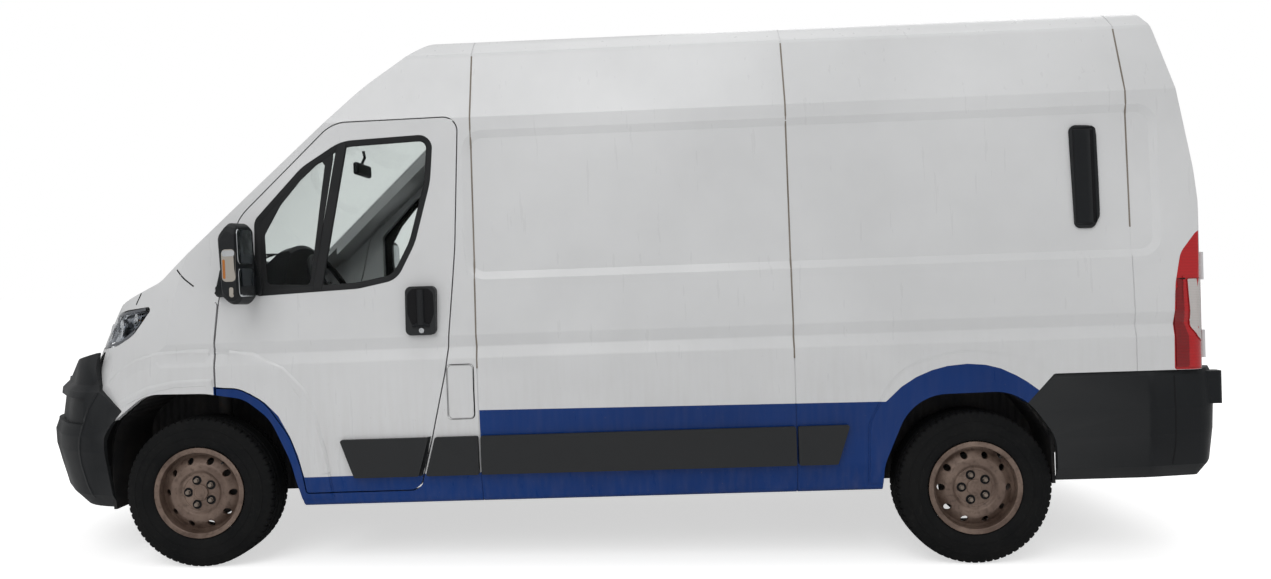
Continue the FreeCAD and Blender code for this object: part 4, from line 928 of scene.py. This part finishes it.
# Creases of the flares and the bumper, and the shut lines at the bonnet and the pillar's foot
WING_CREASE = [(-0.430, 0.826), (-0.354, 0.895), (-0.264, 0.938), (-0.147, 0.967), (0.012, 0.973),
               (0.104, 0.971)]
WING_LOWER_CREASE = [(-0.344, 0.753), (-0.201, 0.815), (-0.077, 0.838), (0.095, 0.842)]
DOOR_CREASE = [(0.172, 0.963), (0.277, 0.951), (0.411, 0.884), (0.504, 0.785), (0.548, 0.668),
               (0.572, 0.542), (0.596, 0.417)]
BUMPER_CREASE = [(-0.461, 0.798), (-0.508, 0.728), (-0.537, 0.649), (-0.552, 0.563), (-0.556, 0.476),
                 (-0.542, 0.381), (-0.519, 0.315)]
BONNET_LINE = [(-0.242, 1.292), (-0.267, 1.242), (-0.295, 1.190)]
PILLAR_LINE = [(-0.059, 1.341), (-0.020, 1.297), (0.020, 1.264)]
CREASE_SECTION = ((-0.055, -0.0005), (-0.020, 0.0020), (-0.004, 0.0042), (0.000, 0.0045), (0.006, 0.0020),
                  (0.012, -0.0005))
BUMPER_SECTION = ((-0.012, -0.0005), (-0.002, 0.0030), (0.002, 0.0030), (0.006, -0.0005))
CREASE_SHARP = 30.0


def creases():
    """Strips along the pressed creases and the dark shut lines."""
    for name, side, view in SIDES:
        wing = seen_from(view, side, f"wing_{name}")
        shell = seen_from(view, side, f"door_{name}")
        corner = seen_from(view, side * 0.97, "front_bumper")
        nose = seen_from(view, side * 0.85, f"wing_{name}", "bonnet")
        post = seen_from(view, side * 0.98, f"wing_{name}", "cab_frame", f"pillar_{name}")
        for part, path, place, body in (("wing", WING_CREASE, wing, "van_body"),
                                        ("wing_lower", WING_LOWER_CREASE, wing, "van_body"),
                                        ("door", DOOR_CREASE, shell, f"cab_door_{name}")):
            crease = strip(path, 0.03, CREASE_SECTION, place)
            piece(f"{part}_crease_{name}", crease, WHITE, body, CREASE_SHARP)
        crease = strip(BUMPER_CREASE, 0.02, BUMPER_SECTION, corner)
        piece(f"bumper_crease_{name}", crease, BLACK, "van_body", CREASE_SHARP)
        piece(f"bonnet_line_{name}", strip(BONNET_LINE, 0.01, SHUT_SECTION, nose), SHADOW)
        piece(f"pillar_line_{name}", strip(PILLAR_LINE, 0.01, SHUT_SECTION, post), SHADOW)


# Rear doors and roof
REAR_Y = 4.44
PRESSED_PANELS = (("upper", 1.440, 2.110), ("lower", 0.850, 1.330))
PRESSED_SECTION = ridge(0.014, 0.007, 0.004)
SEAL_SECTION = ridge(0.006, 0.005, 0.003)
LEAF_GRIP = [(0.070, 1.352), (0.070, 1.428)]
LEAF_GRIP_SECTION = ridge(0.010, 0.008, 0.012, 0.0)
LEAF_LOCK = ((0.0, 0.011), (0.003, 0.011), (0.004, 0.009), (0.004, 0.001))
BEAD_SECTION = ridge(0.022, 0.012, 0.004)
BEAD_XS = (-0.62, -0.36, 0.36, 0.62)


def rear_doors():
    """Pressed panels, middle seals and handle plates of both leaves."""
    for name, side, _ in SIDES:
        body = f"rear_door_{name}"
        leaf = seen_from(REAR_VIEW, REAR_Y, f"tail_door_{name}")
        low, high = across(side, 0.110, 0.800)
        for part, low_z, high_z in PRESSED_PANELS:
            corners = [(low, low_z, 0.05), (high, low_z, 0.05), (high, high_z, 0.09), (low, high_z, 0.09)]
            piece(f"pressed_{part}_{name}", band(corners, 0.05, PRESSED_SECTION, leaf), WHITE, body)
        seal = strip([(side * 0.011, 0.800), (side * 0.011, 2.210)], 0.05, SEAL_SECTION, leaf)
        piece(f"middle_seal_{name}", seal, RUBBER, body)
        box = (*across(side, 0.045, 0.095), 1.345, 1.435)
        piece(f"leaf_handle_{name}", plate(box, 0.012, leaf, 0.004), BLACK, body)


def left_leaf():
    """Grip, lock, blank plate and lamp bar of the left leaf."""
    body = "rear_door_left"
    leaf = seen_from(REAR_VIEW, REAR_Y, "tail_door_left")
    piece("leaf_grip", strip(LEAF_GRIP, 0.01, LEAF_GRIP_SECTION, leaf), BLACK, body)
    piece("leaf_lock", lathe(LEAF_LOCK, leaf(0.070, 1.325, 0.0), (0, 1, 0), 24), CHROME, body)
    number_plate("rear", (0.150, 0.670, 1.020, 1.130), leaf, body)
    piece("plate_lamp_bar", plate((0.210, 0.610, 1.146, 1.176), 0.010, leaf, 0.016, 0.006), BLACK, body)


def roof_and_header():
    """High brake lamp over the rear doors, and the roof's beads."""
    header = seen_from(REAR_VIEW, REAR_Y, "rear_frame")
    piece("third_brake_lamp", plate((-0.150, 0.150, 2.240, 2.262), 0.008, header, 0.004), RED_LENS)
    roof = seen_from(TOP_VIEW, 1.0, "roof_main")
    beads = [strip([(x, 1.42), (x, 4.12)], 0.1, BEAD_SECTION, roof) for x in BEAD_XS]
    piece("roof_beads", merged(*beads), WHITE)


# Cab
COLUMN_X = 0.48
HOOD = [(0.010, 1.205), (0.091, 1.272), (0.160, 1.340), (0.214, 1.392), (0.270, 1.440), (0.318, 1.452),
        (0.332, 1.436), (0.318, 1.395), (0.296, 1.300), (0.262, 1.190)]
HOOD_HALF = 0.19
HOOD_DROP = 0.030
HOOD_FOOT = 1.23
LEVER = [(0.060, 0.400, 0.985), (0.062, 0.450, 1.060), (0.064, 0.470, 1.090)]
LEVER_KNOB = ((-0.022, 0.001), (-0.020, 0.012), (-0.008, 0.022), (0.010, 0.024), (0.024, 0.016),
              (0.028, 0.001))
DASH_VENT_XS = (-0.70, -0.10, 0.10, 0.70)


def dash():
    """Instrument hood, column with stalks, console, gear lever and vents."""
    hood = []
    for k in range(15):
        x = COLUMN_X + HOOD_HALF * (k / 7 - 1)
        drop = HOOD_DROP * (abs(x - COLUMN_X) / HOOD_HALF) ** 2
        hood.append([Vector((x, y, z - drop * (z > HOOD_FOOT))) for y, z in HOOD])
    piece("instrument_hood", grid(hood, True, True, True), DASH)
    piece("column_shroud", pillow_box((0.425, 0.250, 1.095), (0.535, 0.395, 1.180), 0.02), BLACK)
    for name, side, _ in SIDES:
        path = [(COLUMN_X + side * 0.05, 0.375, 1.150), (COLUMN_X + side * 0.13, 0.385, 1.165),
                (COLUMN_X + side * 0.18, 0.395, 1.172)]
        piece(f"stalk_{name}", tube(path, [0.006, 0.007, 0.009], 12), BLACK)
    piece("centre_console", pillow_box((-0.130, 0.200, 0.640), (0.170, 0.420, 1.040), 0.03), DASH)
    lever = merged(tube(LEVER, [0.008, 0.007, 0.008], 12),
                   lathe(LEVER_KNOB, (0.064, 0.474, 1.105), (0.0, 0.3, 1.0), 24))
    piece("gear_lever", lever, BLACK)
    louvres = []
    for x in DASH_VENT_XS:
        for k in range(5):
            z = 1.085 + 0.018 * k
            y = 0.330 - 0.9 * (z - 1.15)
            louvres.append(pillow_box((x - 0.06, y - 0.008, z), (x + 0.06, y + 0.008, z + 0.006), 0.002, 1))
    piece("dash_vents", merged(*louvres), BLACK)


def cab_top():
    """Interior mirror on its stem, headlining, sun visors and the bulkhead's ribs."""
    piece("cab_mirror", pillow_box((-0.115, 0.470, 1.838), (0.125, 0.500, 1.905), 0.012), BLACK)
    screen = seen_from(FRONT_VIEW, 0.0, "windscreen")
    stem_top = screen(0.005, 1.975, 0.0) + Vector((0, 0.012, 0))
    piece("cab_mirror_stem", tube([(0.005, 0.475, 1.890), (0.005, 0.500, 1.940), stem_top], 0.008), RUBBER)
    piece("headlining", pillow_box((-0.800, 0.930, 2.215), (0.800, 1.278, 2.245), 0.012), LINING)
    for name, side, _ in SIDES:
        low, high = across(side, 0.10, 0.62)
        piece(f"sun_visor_{name}", pillow_box((low, 0.800, 2.105), (high, 0.960, 2.128), 0.009), LINING)
    ribs = [pillow_box((x - 0.020, 1.274, 0.700), (x + 0.020, 1.287, 2.180), 0.005, 2)
            for x in (0.16 * k for k in range(-5, 6))]
    piece("bulkhead_ribs", merged(*ribs), TRIM)


# Wheels: sections as (along the axle, radius)
TYRE_SECTION = ((0.086, 0.206), (0.094, 0.208), (0.0995, 0.214), (0.1035, 0.224), (0.1060, 0.238),
                (0.1066, 0.246), (0.1056, 0.2475), (0.1056, 0.2515), (0.1070, 0.253), (0.1072, 0.264),
                (0.1062, 0.276), (0.1048, 0.286), (0.1058, 0.2875), (0.1052, 0.2915), (0.1024, 0.2935),
                (0.0985, 0.304), (0.0945, 0.3135), (0.0935, 0.3165), (0.0900, 0.3255), (0.0862, 0.3315),
                (0.0800, 0.3345), (0.0640, 0.3356), (0.0630, 0.3290), (0.0560, 0.3290), (0.0550, 0.3362),
                (0.0330, 0.3366), (0.0320, 0.3292), (0.0250, 0.3292), (0.0240, 0.3368), (0.0030, 0.3369))
BLOCK_PARTS = 5
SEGMENTS = 66 * BLOCK_PARTS
BOLTS = 5
BOLT_CIRCLE = 0.0570
BOLT = ((-0.004, 0.0120), (0.004, 0.0120), (0.005, 0.0105), (0.013, 0.0100), (0.0145, 0.0085),
        (0.0145, 0.0005))
BOLT_WELL = ((-0.002, 0.0215), (0.0018, 0.0205), (0.0018, 0.0195), (0.0006, 0.0180), (0.0004, 0.0120))
CAP_OUTER = ((0.074, 0.0345), (0.0855, 0.0340), (0.0865, 0.0325), (0.0862, 0.0290), (0.0842, 0.0285))
CAP_INNER = ((0.0845, 0.0200), (0.0852, 0.0195), (0.0852, 0.0185), (0.0842, 0.0180))
NAVE_SECTION = ((0.0768, 0.0765), (0.0792, 0.0780), (0.0792, 0.0865), (0.0768, 0.0880))
NAVE_HALF = 0.44
VALVE = ((0.062, 0.178), (0.080, 0.172), (0.094, 0.170))
VALVE_ANGLE = 0.9


def spoke(angle):
    """The direction of an angle round the axle."""
    return Vector((0, math.cos(angle), math.sin(angle)))


def groove(width, radius, part):
    """How deep the tread is cut at a place between two blocks."""
    if part == 0 and 0.064 <= width <= 0.0945:
        return 0.0065 if width < 0.0865 else 0.003
    if part == 3 and 0.0335 <= width <= 0.0555 and radius > 0.330:
        return 0.004
    return 0.0


def tyre_shape(centre, side):
    """A turned shape with cross grooves between the tread and shoulder blocks."""
    full = [(side * x, r) for x, r in TYRE_SECTION] + [(-side * x, r) for x, r in reversed(TYRE_SECTION)]
    rings = []
    for along, radius in full:
        shift = 2 if along * side < 0 else 0
        ring = []
        for k in range(SEGMENTS):
            depth = radius - groove(abs(along), radius, (k + shift) % BLOCK_PARTS)
            angle = 2 * math.pi * k / SEGMENTS
            ring.append(Vector((centre.x + along, centre.y + depth * math.cos(angle),
                                centre.z + depth * math.sin(angle))))
        rings.append(ring)
    return grid(rings)


def wheel_face(end, name, side, hub):
    """Bolts in wells, cap rims, nave arcs and valve of one wheel."""
    body = f"wheel_{end}_{name}"
    out = Vector((side, 0, 0))
    turns = [math.pi + 2 * math.pi * k / BOLTS for k in range(BOLTS)]
    places = [hub + out * 0.077 + spoke(angle) * BOLT_CIRCLE for angle in turns]
    bolts = [lathe(BOLT, place, out, 6) for place in places]
    wells = [lathe(BOLT_WELL, place, out, 28) for place in places]
    piece(f"bolts_{end}_{name}", merged(*bolts), STEEL, body, 30.0, False)
    piece(f"bolt_wells_{end}_{name}", merged(*wells), WELL_SHADOW, body, 40.0, False)
    rims = merged(lathe(CAP_OUTER, hub, out, 48), lathe(CAP_INNER, hub, out, 48))
    piece(f"cap_rim_{end}_{name}", rims, RIM, body, 40.0, False)
    arcs = []
    for angle in turns:
        middle = angle + math.pi / BOLTS
        rows = [[hub + out * along + spoke(middle + NAVE_HALF * (i / 6 - 1)) * radius for i in range(13)]
                for along, radius in NAVE_SECTION]
        arcs.append(grid(rows, False))
    piece(f"nave_arcs_{end}_{name}", merged(*arcs), RIM, body, 40.0, False)
    stem = [hub + out * along + spoke(VALVE_ANGLE) * radius for along, radius in VALVE]
    piece(f"valve_{end}_{name}", tube(stem, [0.006, 0.005, 0.0045], 12), RUBBER, body, 40.0, False)


def wheels():
    """Four detailed tyres in place of the plain ones, with the wheels' faces."""
    for end, wheel_x, wheel_y in (("front", FRONT_X, AXLE_Y), ("rear", REAR_X, REAR_AXLE_Y)):
        for name, side, _ in SIDES:
            hub = Vector((side * wheel_x, wheel_y, TYRE_RADIUS))
            body = f"wheel_{end}_{name}"
            tyre = piece(f"tyre_detail_{end}_{name}", tyre_shape(hub, side), TYRE, body, 30.0, False)
            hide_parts(f"tyre_{end}_{name}")
            wheel_face(end, name, side, hub)


# Seats: name, middle, half width and the places of the head rests
SEATS = (("driver", 0.480, 0.250, (0.480,)), ("double", -0.400, 0.440, (-0.620, -0.180)))
SEAT_GAP = 0.003
PAD_INSET = 0.014
PAD_VOXEL = 0.013
PAD_PRESSURE = 4.0
PAD_FRAMES = 20
PIPING_INSET = 0.026
CHANNEL_INSET = 0.06


def pad(name, low, high, radius):
    """A foam block a little smaller than its place, ready to swell."""
    inset = Vector((PAD_INSET, PAD_INSET, PAD_INSET))
    shape = pillow_box(Vector(low) + inset, Vector(high) - inset, radius, 6)
    item = piece(name, shape, CLOTH, "van_body", 180.0)
    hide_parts("seats")
    return item


def baked(item, kind, **settings):
    """The object's mesh with one modifier applied."""
    modifier = item.modifiers.new(kind.lower(), kind)
    for key, value in settings.items():
        setattr(modifier, key, value)
    view = bpy.context.evaluated_depsgraph_get()
    mesh = bpy.data.meshes.new_from_object(item.evaluated_get(view), depsgraph=view)
    item.modifiers.remove(modifier)
    item.data = mesh
    mesh.shade_smooth()


def swell(pads):
    """Cloth pressure on all pads at once, with no point moved further than the inset."""
    starts = {}
    for item in pads:
        baked(item, "REMESH", mode="VOXEL", voxel_size=PAD_VOXEL)
        starts[item] = [v.co.copy() for v in item.data.vertices]
        cloth = item.modifiers.new("cloth", "CLOTH")
        cloth.settings.use_pressure = True
        cloth.settings.uniform_pressure_force = PAD_PRESSURE
        cloth.settings.effector_weights.gravity = 0.0
        cloth.point_cache.frame_start = 1
        cloth.point_cache.frame_end = PAD_FRAMES
    for step in range(1, PAD_FRAMES + 1):
        bpy.context.scene.frame_set(step)
    view = bpy.context.evaluated_depsgraph_get()
    for item in pads:
        swollen = [v.co.copy() for v in item.evaluated_get(view).data.vertices]
        item.modifiers.clear()
        for vert, start, end in zip(item.data.vertices, starts[item], swollen):
            move = end - start
            vert.co = start + move * min(1.0, PAD_INSET / max(move.length, 0.0001))
    bpy.context.scene.frame_set(1)


def seat(name, x, half, places):
    """The pads of one seat; its posts and plinth become pieces of their own."""
    low, high = x - half, x + half
    spans = [(low, high)] if len(places) == 1 else [(low, x - SEAT_GAP), (x + SEAT_GAP, high)]
    pads = []
    for number, (left, right) in enumerate(spans, 1):
        end = f"{name}_{number}"
        pads.append(pad(f"cushion_{end}", (left, 0.612, 0.760), (right, 1.075, 0.900), 0.040))
        pads.append(pad(f"seat_back_{end}", (left, 0.962, 0.902), (right, 1.078, 1.500), 0.040))
    for number, head in enumerate(places, 1):
        end = f"{name}_{number}"
        foot = (head - 0.130, 0.968, 1.542)
        top = (head + 0.130, 1.072, 1.718)
        pads.append(pad(f"head_rest_{end}", foot, top, 0.036))
        posts = [tube([(post, 1.020, 1.470), (post, 1.020, 1.580)], 0.006, 12)
                 for post in (head - 0.055, head + 0.055)]
        piece(f"head_posts_{end}", merged(*posts), CHROME)
    plinth = merged(pillow_box((low + 0.045, 0.655, 0.602), (high - 0.045, 1.035, 0.700), 0.014),
                    pillow_box((low + 0.030, 0.640, 0.705), (high - 0.030, 1.050, 0.762), 0.018))
    piece(f"seat_plinth_{name}", plinth, BLACK)
    return pads


def sewing(item):
    """Piping round a pad, and sewn channels across all but the head rests."""
    level = [LEAN.inverted() @ v.co for v in item.data.vertices]
    low = Vector([min(point[k] for point in level) for k in range(3)])
    high = Vector([max(point[k] for point in level) for k in range(3)])
    if "cushion" in item.name:
        view, axis, rows = TOP_VIEW, 1, (0.30, 0.50, 0.70)
    else:
        view, axis, rows = FRONT_VIEW, 2, (0.28, 0.52, 0.76)
    top = seen_from(view, high[axis], item)
    rim = plate_outline(low.x + PIPING_INSET, high.x - PIPING_INSET, low[axis] + PIPING_INSET,
                        high[axis] - PIPING_INSET, 0.045)
    piece(f"piping_{item.name}", tube([top(p.x, p.y, 0.0005) for p in rim], 0.0035, 8, True), PIPING)
    if "head" in item.name:
        return
    start = low.x + CHANNEL_INSET
    run = high.x - low.x - 2 * CHANNEL_INSET
    lines = []
    for row in rows:
        b = low[axis] + (high[axis] - low[axis]) * row
        lines.append(tube([top(start + run * k / 12, b, -0.0008) for k in range(13)], 0.0024, 6))
    piece(f"channels_{item.name}", merged(*lines), CLOTH_SHADOW)


def seats():
    """All seats; the pads swell in every run."""
    pads = [item for row in SEATS for item in seat(*row)]
    swell(pads)
    for item in pads:
        baked(item, "SUBSURF", levels=1)
    for item in pads:
        sewing(item)


# Studio
FLOOR_REACH = 60.0
FLOOR_TONE = (0.82, 0.82, 0.82)
FLOOR_GLOW = 0.60
SKY_STRENGTH = 0.58
LAMPS = (("key_lamp", (9.0, -2.0, 8.5), 7.0, 375.0), ("fill_lamp", (-8.0, 4.0, 7.0), 7.0, 165.0),
         ("top_lamp", (0.5, 0.5, 9.5), 8.0, 165.0))


def emptied(tree, kinds):
    """New nodes of these kinds in an emptied tree."""
    tree.nodes.clear()
    return [tree.nodes.new("ShaderNode" + kind) for kind in kinds]


def linked(tree, pairs):
    """Links from an output to an input, one for each pair."""
    for output, socket in pairs:
        tree.links.new(output, socket)


def stage_material(name, colour, glow):
    """A pale surface that stays white to the camera and in reflections."""
    material = bpy.data.materials.new(name)
    material.use_nodes = True
    kinds = ("OutputMaterial", "BsdfDiffuse", "Emission", "AddShader", "LightPath", "Math")
    out, matt, light, both, path, scale = emptied(material.node_tree, kinds)
    matt.inputs["Color"].default_value = (*colour, 1.0)
    scale.operation = "MULTIPLY"
    scale.inputs[1].default_value = glow
    linked(material.node_tree, ((path.outputs["Is Camera Ray"], scale.inputs[0]),
                                (scale.outputs[0], light.inputs["Strength"]),
                                (matt.outputs[0], both.inputs[0]), (light.outputs[0], both.inputs[1]),
                                (both.outputs[0], out.inputs["Surface"])))
    return material


def stage_floor():
    """A wide pale floor."""
    mesh = bpy.data.meshes.new("floor_mesh")
    corners = ((-1, -1), (1, -1), (1, 1), (-1, 1))
    mesh.from_pydata([(a * FLOOR_REACH, b * FLOOR_REACH, 0) for a, b in corners], [], [(0, 1, 2, 3)])
    floor = bpy.data.objects.new("stage_floor", mesh)
    bpy.context.scene.collection.objects.link(floor)
    floor.data.materials.append(stage_material("stage_floor", FLOOR_TONE, FLOOR_GLOW))


def sky():
    """A soft sky that is white to the camera and through glass."""
    world = bpy.data.worlds.new("sky")
    bpy.context.scene.world = world
    world.use_nodes = True
    kinds = ("OutputWorld", "Background", "Background", "LightPath", "Math", "MixShader")
    out, soft, white, path, seen, mixed = emptied(world.node_tree, kinds)
    for shader, strength in ((soft, SKY_STRENGTH), (white, 1.0)):
        shader.inputs["Color"].default_value = (1.0, 1.0, 1.0, 1.0)
        shader.inputs["Strength"].default_value = strength
    seen.operation = "MAXIMUM"
    linked(world.node_tree, ((path.outputs["Is Camera Ray"], seen.inputs[0]),
                             (path.outputs["Is Transmission Ray"], seen.inputs[1]),
                             (seen.outputs[0], mixed.inputs[0]), (soft.outputs[0], mixed.inputs[1]),
                             (white.outputs[0], mixed.inputs[2]), (mixed.outputs[0], out.inputs["Surface"])))


def lamps():
    """Large soft lamps aimed at the van's middle."""
    for name, place, size, power in LAMPS:
        data = bpy.data.lights.new(name, "AREA")
        data.size = size
        data.energy = power
        lamp = bpy.data.objects.new(name, data)
        bpy.context.scene.collection.objects.link(lamp)
        lamp.location = place
        lamp.rotation_euler = (Vector((0, 0, 1.0)) - lamp.location).to_track_quat("-Z", "Y").to_euler()


def photo_camera():
    """The camera of the photograph."""
    data = bpy.data.cameras.new("camera")
    data.lens = LENS
    data.sensor_width = SENSOR
    data.clip_end = 200.0
    camera = bpy.data.objects.new("camera", data)
    bpy.context.scene.collection.objects.link(camera)
    ahead = Vector((-math.cos(YAW) * math.cos(PITCH), -math.sin(YAW) * math.cos(PITCH), -math.sin(PITCH)))
    level_right = Vector((-math.sin(YAW), math.cos(YAW), 0.0))
    level_up = level_right.cross(ahead)
    right = level_right * math.cos(ROLL) + level_up * math.sin(ROLL)
    up = level_up * math.cos(ROLL) - level_right * math.sin(ROLL)
    turn = Matrix((right, up, -ahead)).transposed().to_4x4()
    camera.matrix_world = Matrix.Translation(EYE + Vector((0, AXLE_Y, 0))) @ turn
    bpy.context.scene.camera = camera
    bpy.context.scene.view_settings.view_transform = "Standard"


cab_doors()
headlamps()
bumper_slot()
wipers()
cowl_and_jets()
side_panels()
filler_and_vent()
tail_lamps()
creases()
rear_doors()
left_leaf()
roof_and_header()
dash()
cab_top()
wheels()
seats()
stage_floor()
sky()
lamps()
photo_camera()
